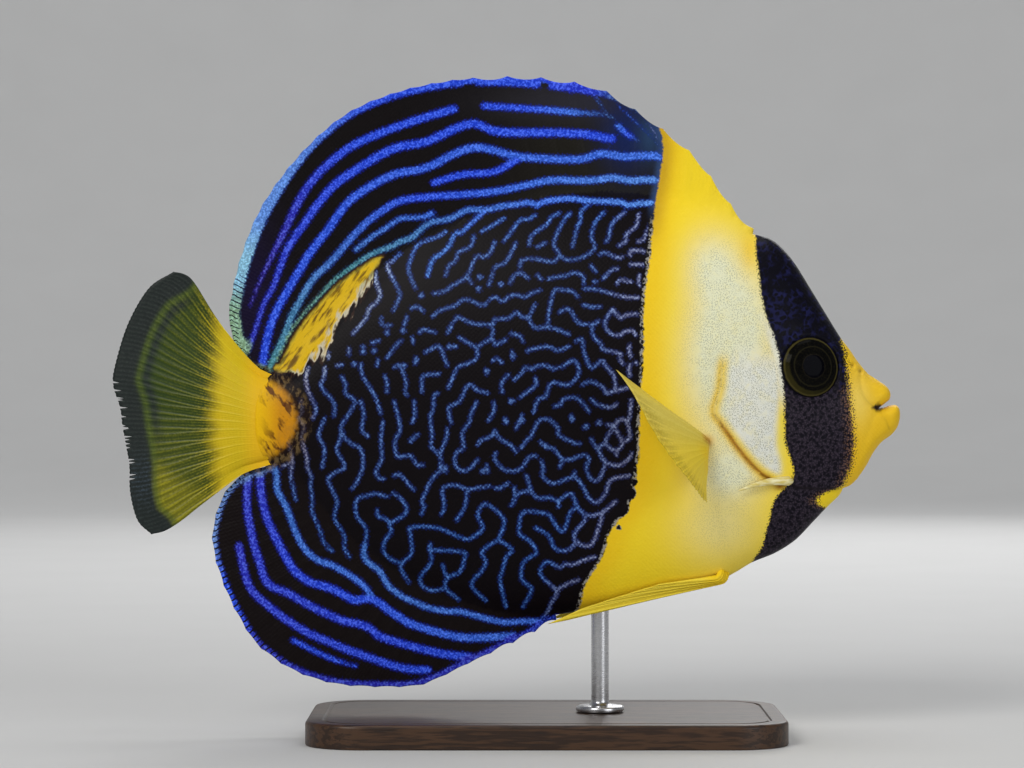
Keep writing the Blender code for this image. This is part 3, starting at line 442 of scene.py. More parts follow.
@dataclass(frozen=True)
class HeadRelief:
    """What stands out of the head's skin or lies in it.

    Attributes:
        gill_step: How far the shoulder lies below the rim of the gill cover.
        gill_slope: How far back the shoulder rises to the flank again.
        rim_rise: How far the rim of the cover stands proud.
        cheek_step: How far the gill cover lies below the edge of the cheek.
        crease: The depth of the creases at the mouth.
        socket_rim: The rise of the ring of skin round the eye.
        nostril: The radius of a nostril.
        lip_round: How broad the rounding of the lips is.
    """

    gill_step: float = 0.9
    gill_slope: float = 3.5
    rim_rise: float = 0.35
    cheek_step: float = 0.3
    crease: float = 0.45
    socket_rim: float = 0.38
    nostril: float = 0.6
    lip_round: float = 2.4

    def shape(self, places: Array, half: Array) -> Array:
        """Carves the relief into the head and shoulder.

        Args:
            places: Places of the mid-plane.
            half: The half thickness there.

        Returns:
            The half thickness with the relief.
        """
        x, z = places[:, 0], places[:, 1]
        away, along, side = GILL_TRACE.measure(places)
        strength = rise(along, 0.0, 0.16) * (1 - 0.55 * rise(along, 0.66, 0.76))
        behind = self.gill_step * strength * np.exp(-away / self.gill_slope)
        before = self.rim_rise * strength * np.exp(-away / 5.0)
        half = half + np.where(side > 0, before, -behind)
        away, along, side = CHEEK_TRACE.measure(places)
        edge = self.cheek_step * np.sin(np.pi * np.clip(along, 0.02, 0.98)) ** 0.5
        half -= np.where(side < 0, edge * np.exp(-away / 2.4), 0)
        face = np.clip(FACE_TRACE.distance(places) / self.lip_round, 0, 1)
        lips = np.clip((x - 84.0) / 6.0, 0, 1)
        half = half * (1 - lips * (1 - np.sqrt(1 - (1 - face) ** 2))) + 0.1 * lips
        for line, depth, breadth in ((MOUTH_CREASE, 1.0, 0.5), (LIP_CREASE, 0.9, 0.4),
                                     (JAW_CREASE, 0.45, 0.6)):
            away, along, _ = Trace.smooth(line, 0.5).measure(places)
            half -= self.crease * depth * np.exp(-((away / breadth) ** 2)) * (1 - 0.5 * along)
        from_eye = np.hypot(x - EYE[0], z - EYE[1])
        half += self.socket_rim * np.exp(-(((from_eye - 8.3) / 0.75) ** 2))
        half -= 1.5 * rise(from_eye, 7.6, 6.4)
        for at in NOSTRILS:
            away = np.hypot(x - at[0], z - at[1])
            half += 0.16 * np.exp(-(((away - self.nostril * 1.6) / 0.35) ** 2))
            half -= 0.7 * np.exp(-((away / self.nostril) ** 2))
        half += 0.55 * mound(x, z, (49.3, 71.0), (2.2, 4.2))
        return half


GILL_TRACE = Trace(joined((GILL_OPENING, GILL_MEMBRANE), 0.8))
CHEEK_TRACE = Trace.smooth(CHEEK_EDGE, 0.8)
FACE_TRACE = Trace(joined((FOREHEAD, UPPER_LIP, LOWER_LIP, CHIN), 0.8))


@dataclass(frozen=True)
class FinPatch:
    """A fin in the mid-plane, ruled between its base and its margin.

    Attributes:
        base: The line that it stands on.
        margin: Its outer edge.
        spines: How many stretches lie between its spines.
        rays: How many stretches lie between its soft rays.
        spiny: The share of the fin that has spines.
        half_at_root: Half its thickness at the base along the fish.
        notches: How deep the margin dips between spines and between rays.
    """

    base: Array
    margin: Array
    spines: int
    rays: int
    spiny: float
    half_at_root: Pairs
    notches: tuple[float, float] = (0.9, 0.35)

    def phase(self, u: Array) -> Array:
        """How many rays lie before a share along the fin: a whole number on each ray."""
        return np.interp(u, [0, self.spiny, 1], [0, self.spines, self.spines + self.rays])

    def length(self, u: Array) -> Array:
        """How long the fin is at shares along it."""
        return np.maximum(np.hypot(*(on_line(self.margin, u) - on_line(self.base, u)).T), 1.0)

    def reach(self, u: Array) -> Array:
        """How far out the notched margin lies, where 1 is the tips of the rays.

        Args:
            u: Shares along the fin.

        Returns:
            The margin's share of the way out.
        """
        depth = np.where(u < self.spiny, *self.notches)
        dip = np.abs(np.sin(np.pi * self.phase(u))) ** 0.8
        return 1 - depth * dip / self.length(u)

    def at(self, u: Array, v: Array) -> Array:
        """Places at shares along the fin and shares of the way out."""
        return (1 - v)[:, None] * on_line(self.base, u) + v[:, None] * on_line(self.margin, u)

    def half(self, u: Array, v: Array) -> Array:
        """Half the thickness, with a ridge along each ray that forks on the soft part.

        Args:
            u: Shares along the fin.
            v: Shares of the way out.

        Returns:
            Half the thickness at each place.
        """
        root = through(self.half_at_root, on_line(self.base, u)[:, 0])
        taper = MEMBRANE + (root - MEMBRANE) * (1 - v) ** 1.5
        phase = self.phase(u)
        off = np.abs(phase - np.round(phase))
        spiny = u < self.spiny
        fork = np.where(spiny, 0.0, 0.2 * rise(v, 0.45, 1.0))
        ridge = np.exp(-(((off - fork) / np.where(spiny, 0.1, 0.085)) ** 2))
        height = np.where(spiny, SPINE_RISE, RAY_RISE)
        return taper + ridge * height * (1 - 0.7 * v) * np.minimum(1, 2.5 * v)

    def sway(self, u: Array, v: Array) -> Array:
        """How far the sheet leans out of the mid-plane towards its rear."""
        return 1.6 * v * v * np.maximum(0, u - 0.5) * 2 * np.sin(9.0 * u)


def fin_base(points: Pairs, front: float, rear: float) -> Array:
    """The part of a base line between two places along the fish."""
    line = smooth_path(points, 0.6)
    return line[(line[:, 0] < front) & (line[:, 0] > rear)]


DORSAL = FinPatch(fin_base(DORSAL_BASE, 61.0, -57.5), smooth_path(DORSAL_MARGIN, 0.6),
                  DORSAL_SPINES, DORSAL_RAYS, SPINY_SHARE, BodyForm.top_edge)
ANAL = FinPatch(fin_base(ANAL_BASE, 11.8, -57.0), smooth_path(ANAL_MARGIN, 0.6),
                ANAL_SPINES, ANAL_RAYS - 1, 3 / 22, BodyForm.low_edge)
MIDDLE_FINS = ((Region.DORSAL, DORSAL), (Region.ANAL, ANAL))


# The picture's scale, and the pixel that lies at the frame's origin
MM_PER_PIXEL = 0.25
ORIGIN_X, ORIGIN_Y = 506, 736


def picture(*pixels: float) -> Pairs:
    """Places of the mid-plane for picture pixels, x and y by turns."""
    return tuple(((x - ORIGIN_X) * MM_PER_PIXEL, (ORIGIN_Y - y) * MM_PER_PIXEL)
                 for x, y in zip(pixels[::2], pixels[1::2]))


VIOLET: Colour = (0.055, 0.028, 0.36)
INDIGO: Colour = (0.022, 0.022, 0.48)
ROYAL: Colour = (0.012, 0.055, 0.75)
AZURE: Colour = (0.035, 0.13, 0.68)
STEEL: Colour = (0.04, 0.14, 0.5)
SKY: Colour = (0.075, 0.22, 0.7)
LILAC: Colour = (0.24, 0.26, 0.5)
TEAL: Colour = (0.06, 0.24, 0.26)
MOSS: Colour = (0.2, 0.34, 0.14)
HAZE: Colour = (0.02, 0.06, 0.2)


@dataclass(frozen=True)
class Stripe:
    """A light stripe of the fins or the edge of the scribbles.

    Attributes:
        course: Its smooth line.
        half_width: Half its breadth.
        tones: Its colours along its course.
        fade: How much narrower it is at its end.
    """

    course: Pairs
    half_width: float = 1.1
    tones: tuple[Colour, ...] = (ROYAL,)
    fade: float = 0.0


TOP_BORDER = Stripe(picture(655, 204, 640, 204, 628, 206, 620, 203, 600, 202, 583, 201, 570, 199,
                            545, 202, 536, 206, 530, 203, 515, 205, 500, 207, 487, 210, 468, 210,
                            460, 214, 450, 219, 440, 221, 430, 223, 420, 231, 412, 238, 400, 242,
                            393, 246, 371, 255, 351, 268, 334, 281, 318, 298, 303, 315, 292, 330,
                            283, 347, 277, 360), 0.9, (SKY, AZURE, STEEL, TEAL, MOSS), 0.45)
TAIL_BORDER = Stripe(picture(275, 467, 277, 478, 277, 488, 281, 497, 287, 508, 292, 522, 299, 539,
                             307, 551, 318, 560, 330, 564, 340, 569, 350, 575, 360, 582, 367, 589,
                             372, 597), 0.95, (STEEL, AZURE))
LOW_BORDER = Stripe(picture(365, 545, 364, 553, 367, 561, 380, 571, 388, 585, 394, 590, 402, 596,
                            418, 603, 427, 607, 448, 611, 460, 611, 478, 616, 498, 621, 510, 622,
                            522, 621, 541, 621), 0.9, (STEEL, AZURE))
STRIPES = (
    TOP_BORDER, TAIL_BORDER, LOW_BORDER,
    Stripe(picture(484, 106, 545, 110, 580, 113, 600, 114, 614, 118), 1.0,
           (ROYAL, ROYAL, AZURE, HAZE), 0.5),
    Stripe(picture(454, 109, 405, 124, 356, 144, 330, 163, 313, 180, 299, 201, 284, 232, 270, 260,
                   259, 283, 250, 306), 1.15, (ROYAL, ROYAL, INDIGO, VIOLET), 0.6),
    Stripe(picture(612, 139, 605, 138, 590, 135, 560, 133, 499, 132, 470, 124, 426, 142,
                   391, 150, 341, 180, 319, 203, 305, 223, 288, 248, 280, 268, 273, 287, 263, 306,
                   255, 331, 248, 351), 1.2, (ROYAL, ROYAL, INDIGO), 0.4),
    Stripe(picture(662, 158, 655, 156, 640, 156, 625, 157, 612, 155, 600, 154, 590, 157, 575, 160,
                   519, 157, 473, 148, 426, 168, 391, 176, 351, 200, 328, 230, 310, 253, 300, 270,
                   288, 290, 276, 312, 268, 335, 262, 366), 1.15, (AZURE, ROYAL)),
    Stripe(picture(519, 159, 494, 172, 462, 175, 434, 183), 1.0),
    Stripe(picture(659, 181, 645, 180, 630, 181, 612, 178, 600, 180, 580, 181, 548, 181, 494, 192,
                   430, 197, 401, 201, 384, 210, 361, 228, 330, 263, 314, 278, 303, 296, 291, 318,
                   284, 338, 275, 356, 270, 370), 1.05, (SKY, AZURE, ROYAL, STEEL, TEAL)),
    Stripe(picture(433, 213, 424, 217, 412, 218, 400, 219, 388, 227, 371, 238, 356, 250), 0.8,
           (AZURE, STEEL)),
    Stripe(picture(487, 210, 480, 216, 470, 225, 462, 233, 455, 234, 450, 246, 442, 254, 434, 259,
                   431, 266, 428, 276), 0.7, (AZURE, STEEL, STEEL)),
    # Front spines of the dorsal fin, and the blot behind them
    Stripe(picture(589, 87, 594, 95, 600, 104, 606, 113), 0.38, (SKY, HAZE)),
    Stripe(picture(619, 106, 630, 117, 642, 128, 652, 138, 661, 149), 0.3, (AZURE, HAZE), 0.4),
    Stripe(picture(647, 121, 654, 132, 661, 145), 0.3, (LILAC, HAZE)),
    Stripe(picture(560, 80, 566, 87, 571, 94), 0.3, (SKY, HAZE)),
    Stripe(picture(618, 126, 624, 132, 631, 137, 639, 141), 0.9, (AZURE, ROYAL, HAZE), 0.6),
    # Along the anal fin
    Stripe(picture(260, 466, 261, 490, 266, 515, 276, 538, 292, 567, 300, 575, 310, 582, 325, 586,
                   335, 590, 345, 595, 355, 600, 370, 598, 380, 603, 390, 611, 400, 617, 415, 625,
                   462, 637, 514, 636), 1.15, (INDIGO, ROYAL, AZURE)),
    Stripe(picture(248, 478, 247, 495, 248, 515, 255, 548, 260, 563, 264, 577, 271, 586, 281, 590,
                   290, 594, 300, 600, 315, 608, 330, 615, 345, 621, 360, 624, 372, 629, 382, 637,
                   435, 652, 471, 657), 1.12, (INDIGO, ROYAL)),
    Stripe(picture(239, 546, 241, 556, 246, 577, 250, 587, 256, 595, 264, 602, 274, 610, 283, 617,
                   300, 628, 315, 636, 330, 642, 349, 650, 399, 667, 428, 670), 1.12,
           (INDIGO, ROYAL)),
    Stripe(picture(293, 640, 315, 651, 333, 659, 356, 666), 0.8, (ROYAL,), 0.3),
)

# Edges of the great markings, as (z, x)
BAND_EDGE: Pairs = ((29.0, 17.0), (33.8, 18.8), (37.5, 19.5), (45.5, 24.0), (51.8, 26.0),
                    (57.2, 29.8), (66.5, 32.2), (80.2, 33.0), (94.0, 33.8), (109.2, 34.2),
                    (120.2, 35.8), (131.5, 37.0), (139.8, 38.5), (148.0, 39.2), (155.0, 37.5))
MASK_REAR: Pairs = ((44.0, 61.5), (46.5, 63.0), (54.0, 65.0), (60.6, 67.2), (63.5, 70.0),
                    (74.0, 68.8), (87.8, 68.2), (97.8, 66.5), (106.0, 63.8), (114.0, 62.5),
                    (121.5, 62.0), (126.0, 62.2))
MASK_FRONT: Pairs = ((54.5, 90.0), (57.0, 79.5), (61.0, 79.0), (62.4, 83.0), (64.5, 84.2),
                     (67.8, 85.5), (71.5, 86.0), (84.0, 85.0), (96.0, 84.0), (99.5, 83.8),
                     (102.0, 90.0))
SCRIBBLE_TOP: Pairs = tuple(sorted(TOP_BORDER.course))
SCRIBBLE_LOW: Pairs = ((-57.8, 67.5), (-57.0, 61.5), (-53.2, 55.2), (-51.8, 49.0), (-43.2, 43.5),
                       (-35.0, 43.2), (-26.8, 36.0), (-11.5, 31.2), (8.2, 28.5), (25.0, 27.0))
YELLOW_PATCH: Pairs = picture(385, 255, 367, 258, 350, 268, 334, 279, 320, 292, 309, 304, 299, 320,
                              291, 338, 283, 352, 273, 371, 300, 373, 314, 364, 326, 352, 335, 340,
                              339, 325, 351, 314, 360, 300, 370, 286, 377, 270)
PATCH_FRONT = 11  # from this point on the patch's outline is its lower front edge
TAIL_ROOT, TAIL_ROOT_REACH = (-66.0, 79.2), (14.4, 11.6)
# Scallops of the band's edge in front of the pectoral fin: x, z, reach twice and depth
BAND_SPOTS = ((30.8, 61.0, 0.8, 0.8, 9.0), (28.6, 57.0, 1.0, 1.0, 9.0),
              (28.0, 52.5, 0.6, 0.6, 4.0), (31.8, 63.9, 0.5, 0.5, 3.0))
# Where the cheek and shoulder are pale: x, z, both reaches and strength
PALE_PARTS = ((58, 103, 8.5, 14, 1.15), (51, 117, 6, 8, 0.8), (50, 92, 7, 16, 0.85),
              (55, 79, 5, 10, 0.55), (56, 66, 8, 6, 1.0), (53, 53, 10, 9, 0.45))

# The labyrinth of the right flank, drawn after the photograph: picture x and y by turns
LINES_ABOVE = (
    (446, 232, 438, 237, 424, 242, 416, 248, 409, 267, 411, 277, 416, 289),
    (474, 237, 471, 247, 459, 253, 456, 261, 449, 267, 446, 276), (482, 232, 491, 227, 504, 219),
    (495, 243, 490, 254, 484, 258, 476, 258, 467, 277, 452, 287, 445, 292, 434, 294),
    (467, 277, 472, 284), (535, 216, 528, 220, 520, 221, 514, 229, 504, 242), (537, 248, 545, 244),
    (516, 244, 508, 260, 503, 265, 495, 269, 489, 286), (599, 256, 604, 254, 616, 259, 621, 258),
    (559, 214, 551, 218, 547, 225, 532, 236, 529, 246), (629, 257, 630, 252, 643, 253, 648, 256),
    (570, 214, 563, 222, 554, 242, 556, 251, 566, 261, 583, 258, 594, 249, 591, 240, 592, 230,
     597, 220, 604, 213), (559, 257, 552, 263, 536, 260, 527, 260, 521, 262, 520, 268),
    (588, 206, 581, 212, 580, 221, 576, 231, 572, 248), (624, 213, 612, 224, 608, 238, 605, 243),
    (638, 215, 635, 227, 625, 236, 625, 242, 618, 247), (653, 218, 646, 233, 643, 240, 637, 243),
    (629, 266, 641, 266, 644, 270), (590, 267, 595, 273), (616, 270, 611, 271, 602, 280),
    (616, 285, 619, 281, 629, 283), (638, 277, 637, 283, 640, 288, 647, 289),
    (510, 284, 514, 277, 520, 274, 528, 279), (537, 276, 541, 280), (582, 306, 590, 308, 599, 308),
    (548, 280, 556, 278, 565, 277, 573, 274, 582, 277, 583, 284),
    (583, 290, 596, 291, 622, 298, 640, 299, 646, 302), (480, 278, 482, 278), (479, 289, 479, 291),
    (490, 300, 496, 298, 503, 302, 510, 297, 517, 296, 524, 298, 532, 294, 540, 291),
    (535, 305, 529, 318, 532, 326, 537, 329, 546, 328, 556, 330, 568, 335), (500, 285, 502, 285),
    (577, 298, 572, 293, 563, 291, 554, 292, 549, 310, 547, 328), (593, 283, 595, 283),
    (559, 313, 565, 310, 570, 312, 578, 324, 592, 325, 597, 322), (492, 325, 493, 333, 491, 340),
    (433, 317, 441, 311, 456, 306, 462, 301, 470, 301, 482, 306, 487, 304), (448, 333, 452, 325),
    (412, 309, 418, 307, 424, 312), (408, 317, 405, 325), (449, 332, 452, 327),
    (455, 321, 459, 318, 473, 324, 492, 325, 495, 320, 508, 319, 517, 313, 521, 317, 529, 319),
    (506, 340, 496, 345, 491, 340, 477, 347, 470, 344, 460, 338), (413, 338, 414, 343),
    (611, 310, 604, 322, 605, 330, 611, 335, 618, 336, 624, 332, 631, 332, 634, 336),
    (611, 310, 619, 319, 625, 316, 638, 316, 641, 326),
)
LINES_MIDDLE = (
    (591, 328, 592, 337, 600, 345, 602, 350, 618, 354, 618, 359, 621, 364),
    (628, 346, 627, 351, 629, 357), (634, 363, 640, 366), (628, 365, 627, 371, 628, 376),
    (575, 342, 581, 340, 583, 353, 590, 368, 600, 361, 604, 366, 612, 376, 614, 390, 619, 389,
     625, 388), (614, 390, 605, 393, 602, 388, 592, 382, 586, 382, 581, 385),
    (561, 367, 573, 361, 578, 372, 571, 383, 564, 385, 551, 383, 545, 396, 538, 399, 533, 412),
    (514, 380, 522, 373, 525, 368, 532, 369, 538, 366, 546, 366, 552, 369, 556, 368),
    (527, 352, 530, 350, 547, 347, 557, 351, 568, 347), (590, 399, 596, 404, 608, 407, 615, 404),
    (554, 406, 560, 404, 563, 399, 576, 398, 588, 411), (570, 415, 571, 420),
    (606, 424, 614, 424, 616, 420, 622, 419, 626, 424, 628, 437, 622, 440, 619, 446, 614, 449,
     608, 447, 604, 441, 607, 434, 613, 424), (613, 427, 617, 434, 620, 440), (583, 427, 584, 427),
    (629, 400, 628, 415, 625, 421), (614, 449, 615, 454), (597, 447, 604, 442),
    (521, 447, 526, 440, 531, 435, 538, 421, 548, 419, 557, 427, 558, 434, 571, 441, 579, 443),
    (540, 441, 545, 446, 553, 448, 562, 458, 570, 458, 583, 454, 588, 458, 585, 465, 587, 473,
     592, 479, 598, 477, 604, 462, 600, 456, 597, 449, 593, 444, 590, 438), (562, 458, 559, 466),
    (604, 462, 618, 464, 628, 456, 630, 452), (450, 347, 457, 347), (417, 358, 416, 364),
    (478, 348, 477, 358, 470, 363, 459, 367, 455, 374, 452, 381, 449, 388), (596, 423, 597, 423),
    (420, 333, 425, 330, 436, 333), (426, 353, 431, 350, 440, 347, 446, 361, 448, 366),
    (440, 374, 427, 375, 423, 379, 423, 392), (494, 402, 494, 411, 489, 420),
    (439, 393, 435, 396, 434, 410, 431, 416, 433, 435, 432, 446, 441, 456, 441, 469),
    (447, 471, 441, 470, 431, 481, 423, 500, 425, 505, 422, 513), (448, 428, 447, 437, 441, 453),
    (488, 393, 478, 390, 472, 385, 467, 387, 460, 401, 450, 407, 450, 415, 452, 422),
    (477, 402, 471, 415, 470, 422, 463, 432, 464, 447, 458, 451, 455, 459, 458, 467, 464, 470,
     470, 468, 478, 459), (493, 361, 497, 359, 502, 363), (512, 352, 513, 359),
    (508, 375, 502, 383, 502, 392), (535, 378, 536, 384, 531, 389, 520, 397), (510, 400, 514, 401),
    (522, 415, 519, 421, 516, 428), (511, 334, 520, 337, 523, 342), (487, 371, 487, 374),
    (478, 444, 481, 440, 492, 435, 495, 430, 499, 437, 511, 445, 516, 451), (505, 418, 505, 420),
    (415, 401, 416, 415, 413, 422), (411, 440, 415, 437, 419, 434), (412, 441, 418, 434),
    (487, 464, 488, 471), (496, 452, 495, 458, 505, 469, 520, 468, 529, 456, 536, 455),
)
LINES_REAR = (
    (400, 254, 393, 261, 388, 268, 399, 290, 400, 298, 394, 311), (382, 318, 383, 325, 391, 326),
    (375, 272, 377, 284, 381, 295, 377, 303, 370, 309, 367, 318, 354, 334), (373, 343, 380, 341),
    (402, 341, 396, 347, 388, 358), (350, 349, 350, 355), (329, 353, 329, 358),
    (338, 366, 343, 365), (379, 360, 378, 366),
    (362, 364, 362, 370, 366, 380, 376, 396, 382, 413), (363, 347, 365, 347),
    (326, 368, 325, 378, 322, 384, 326, 392, 332, 398, 336, 406, 335, 416),
    (343, 377, 347, 385, 347, 394, 356, 402, 343, 425, 343, 432, 352, 443, 362, 449, 364, 466,
     358, 481, 353, 488), (362, 401, 365, 415, 363, 429, 369, 436), (386, 376, 388, 383, 388, 392),
    (395, 367, 401, 366, 407, 382, 406, 390, 408, 395),
    (395, 401, 400, 420, 401, 430, 397, 438, 396, 446, 399, 456, 411, 455, 418, 464, 424, 464),
    (309, 368, 307, 378, 309, 390, 317, 408, 314, 418),
    (343, 430, 341, 440, 338, 450, 346, 466, 338, 471, 332, 475, 329, 480, 335, 494, 338, 502,
     335, 518, 344, 534, 345, 549, 350, 557),
    (302, 400, 303, 411, 300, 418, 305, 426, 303, 436, 304, 444, 308, 457, 308, 467, 312, 476,
     311, 486, 313, 502, 312, 510, 320, 530, 324, 542, 332, 551),
    (326, 418, 320, 434, 325, 447, 325, 458, 323, 467), (395, 475, 401, 474, 410, 484, 415, 489),
    (384, 421, 382, 440, 383, 458, 379, 466, 377, 473, 381, 478, 385, 478), (293, 462, 283, 466),
    (394, 492, 401, 497, 407, 506, 405, 514, 391, 523, 392, 531, 386, 539, 384, 550, 389, 557,
     396, 561, 403, 562), (391, 522, 384, 517, 379, 516, 378, 509),
    (388, 496, 377, 493, 371, 494, 358, 499, 357, 514, 366, 527, 367, 535, 365, 545),
    (288, 440, 292, 452, 293, 463, 291, 476, 294, 490, 296, 500),
)
LINES_BELOW = (
    (409, 582, 402, 570, 402, 563, 412, 552, 411, 533, 412, 526, 438, 527, 463, 537, 471, 537,
     483, 527, 478, 515, 480, 508, 484, 503, 491, 505, 503, 516, 504, 524, 498, 538, 492, 542,
     482, 551, 486, 560, 483, 568, 473, 580, 473, 587, 486, 600),
    (498, 538, 512, 548, 506, 556, 502, 571, 500, 577, 503, 593, 506, 606),
    (431, 543, 430, 549, 438, 549, 464, 551, 465, 557, 460, 571, 448, 577, 446, 588, 459, 599),
    (431, 549, 432, 557, 430, 564, 421, 576, 421, 583, 426, 588, 434, 590, 446, 588),
    (448, 577, 445, 571, 443, 564), (496, 487, 500, 487, 508, 482), (514, 486, 515, 493),
    (442, 513, 445, 505, 443, 489, 448, 485, 456, 484, 469, 488, 482, 486, 490, 485),
    (468, 488, 465, 506, 457, 519), (526, 474, 531, 489, 535, 495, 542, 497, 549, 496, 557, 500,
     558, 505), (531, 489, 522, 491, 516, 494, 514, 500, 511, 504), (573, 476, 574, 471),
    (557, 500, 570, 492, 577, 506, 587, 514, 600, 511, 614, 500),
    (577, 506, 570, 510, 563, 529, 557, 526, 549, 514, 540, 511, 523, 511, 519, 526, 520, 533,
     530, 540, 536, 551, 524, 560, 521, 575, 524, 581, 531, 586, 530, 593, 523, 606),
    (541, 460, 543, 468, 542, 475, 553, 482, 573, 476, 583, 487, 586, 494, 595, 501, 604, 492,
     606, 485, 609, 479, 616, 476, 629, 474),
    (585, 514, 583, 520, 574, 531, 574, 538, 579, 542, 585, 544, 592, 541, 600, 518, 602, 511),
    (535, 526, 547, 533, 551, 540, 554, 546, 561, 549, 568, 548, 575, 542),
    (597, 556, 590, 556, 572, 563, 565, 562, 559, 566, 548, 560, 542, 564, 540, 571, 543, 577,
     555, 588, 556, 594, 552, 600, 548, 610, 542, 620), (558, 588, 564, 584, 578, 578),
)
# Dots between its lines
DOTS = ((422, 296), (404, 331), (487, 371), (450, 347), (506, 421), (571, 418), (585, 426),
        (598, 422), (522, 420), (513, 356), (483, 470), (545, 445), (511, 401), (446, 467),
        (480, 278), (479, 290), (501, 285), (405, 366), (417, 360), (388, 333), (375, 351),
        (364, 352), (355, 364))


@dataclass(frozen=True)
class ScribblePattern:
    """The labyrinth of the flank, grown from noise as pigment cells grow it.

    Stripes that border on it are held, so that its lines lie along them.

    Attributes:
        spacing: From one line to the next.
        cell: The grid's cell.
        low: The grid's lower corner.
        high: Its upper corner.
        steps: How long it grows.
        growth: How strongly lines form.
        bias: How readily lines break into dots.
        pull: How strongly lines follow the lie of each zone.
        flaws: The strength of fixed unevenness that breaks lines.
        zones: The lie of the lines: x, z, angle in degrees, strength and reach.
    """

    spacing: float = 3.4
    cell: float = 0.4
    low: tuple[float, float] = (-64.0, 24.0)
    high: tuple[float, float] = (44.0, 140.0)
    steps: int = 90
    growth: float = 0.6
    bias: float = 0.55
    pull: float = 0.2
    flaws: float = 0.2
    zones: tuple[tuple[float, ...], ...] = (
        (-46, 70, 95, 1.0, 10), (-42, 88, 75, 0.8, 9), (-30, 112, 50, 1.0, 12),
        (-8, 118, 52, 0.9, 12), (12, 127, 62, 1.2, 9), (30, 127, 66, 1.2, 8),
        (20, 105, -5, 0.6, 12), (28, 88, 10, 0.3, 10), (-12, 95, 80, 0.35, 12),
        (-30, 85, 88, 0.8, 12), (-28, 62, 80, 0.7, 12), (0, 80, 40, 0.15, 14),
        (8, 62, 15, 0.3, 14), (-12, 50, 20, 0.4, 12), (12, 42, 0, 0.3, 10), (24, 60, 60, 0.3, 8),
    )

    def lie(self, x: Array, z: Array) -> tuple[Array, Array]:
        """The angle of the lines at places, and how strictly they keep to it.

        Args:
            x: How far forward the places lie.
            z: Their levels.

        Returns:
            The angles in radians, and from 0 to 1 how strictly lines keep to them.
        """
        east, north, total = np.zeros_like(x), np.zeros_like(x), np.zeros_like(x)
        for at_x, at_z, angle, strength, reach in self.zones:
            near = mound(x, z, (at_x, at_z), (reach, reach)) + 1e-9
            east += near * math.cos(2 * math.radians(angle)) * strength
            north += near * math.sin(2 * math.radians(angle)) * strength
            total += near
        return 0.5 * np.arctan2(north, east), np.hypot(north, east) / total

    def grow(self, seed: int) -> Array:
        """Grows one side's labyrinth.

        Args:
            seed: Chooses the noise that it starts from.

        Returns:
            The grid, in which light lines are above 0 and their edges near it.
        """
        random = np.random.default_rng(seed)
        xs = np.arange(self.low[0], self.high[0], self.cell)
        zs = np.arange(self.low[1], self.high[1], self.cell)
        x, z = np.meshgrid(xs, zs)
        wave = 2 * math.pi / self.spacing
        kx, kz = (2 * np.pi * np.fft.fftfreq(len(axis), self.cell) for axis in (xs, zs))
        ratio = (kx[None, :] ** 2 + kz[:, None] ** 2) / wave**2
        damping = (1 - ratio) ** 2 - self.growth
        grown = random.normal(0, 0.4, x.shape)
        uneven = np.real(np.fft.ifft2(np.fft.fft2(random.normal(0, 1, x.shape))
                                      * np.exp(-1.2 * ratio)))
        uneven *= self.flaws / uneven.std()
        angle, strength = self.lie(x, z)
        pull = self.pull * strength / (wave * self.cell) ** 2
        along, across, twist = np.cos(angle) ** 2, np.sin(angle) ** 2, np.sin(2 * angle)
        held, wanted = self.border(np.column_stack([x.ravel(), z.ravel()]))
        held, wanted = held.reshape(x.shape), wanted.reshape(x.shape)
        step = 0.5
        for _ in range(self.steps):
            def moved(up: int, right: int) -> Array:
                """The grid moved by whole cells."""
                return np.roll(grown, (up, right), (0, 1))

            bend = (
                along * (moved(0, 1) + moved(0, -1) - 2 * grown)
                + across * (moved(1, 0) + moved(-1, 0) - 2 * grown)
                + twist * (moved(1, 1) + moved(-1, -1) - moved(1, -1) - moved(-1, 1)) / 4
            )
            change = self.bias * grown**2 - grown**3 + uneven + pull * bend
            spectrum = (np.fft.fft2(grown) + step * np.fft.fft2(change)) / (1 + step * damping)
            grown = np.real(np.fft.ifft2(spectrum))
            grown += (wanted - grown) * held
        body = (z < through(SCRIBBLE_TOP, x)) & (z > through(SCRIBBLE_LOW, x))
        body &= x < through(BAND_EDGE, z)
        return (grown - np.percentile(grown[body], 64)) / 1.05

    def border(self, places: Array) -> tuple[Array, Array]:
        """How firmly the stripes hold the pattern at places, and at which values.

        Args:
            places: Places of the mid-plane.

        Returns:
            How firmly each place is held, and its value.
        """
        borders = (TOP_BORDER, TAIL_BORDER, LOW_BORDER)
        edges = [smooth_path(stripe.course, 0.4) for stripe in borders]
        away = nearest(np.vstack(edges), places)
        edge = np.abs(places[:, 0] - through(BAND_EDGE, places[:, 1]) + 1.3)
        away = np.minimum(away, edge + 0.4)
        share = away / self.spacing
        return rise(share, 0.62, 0.4), np.cos(2 * np.pi * np.clip(share, 0, 0.5))

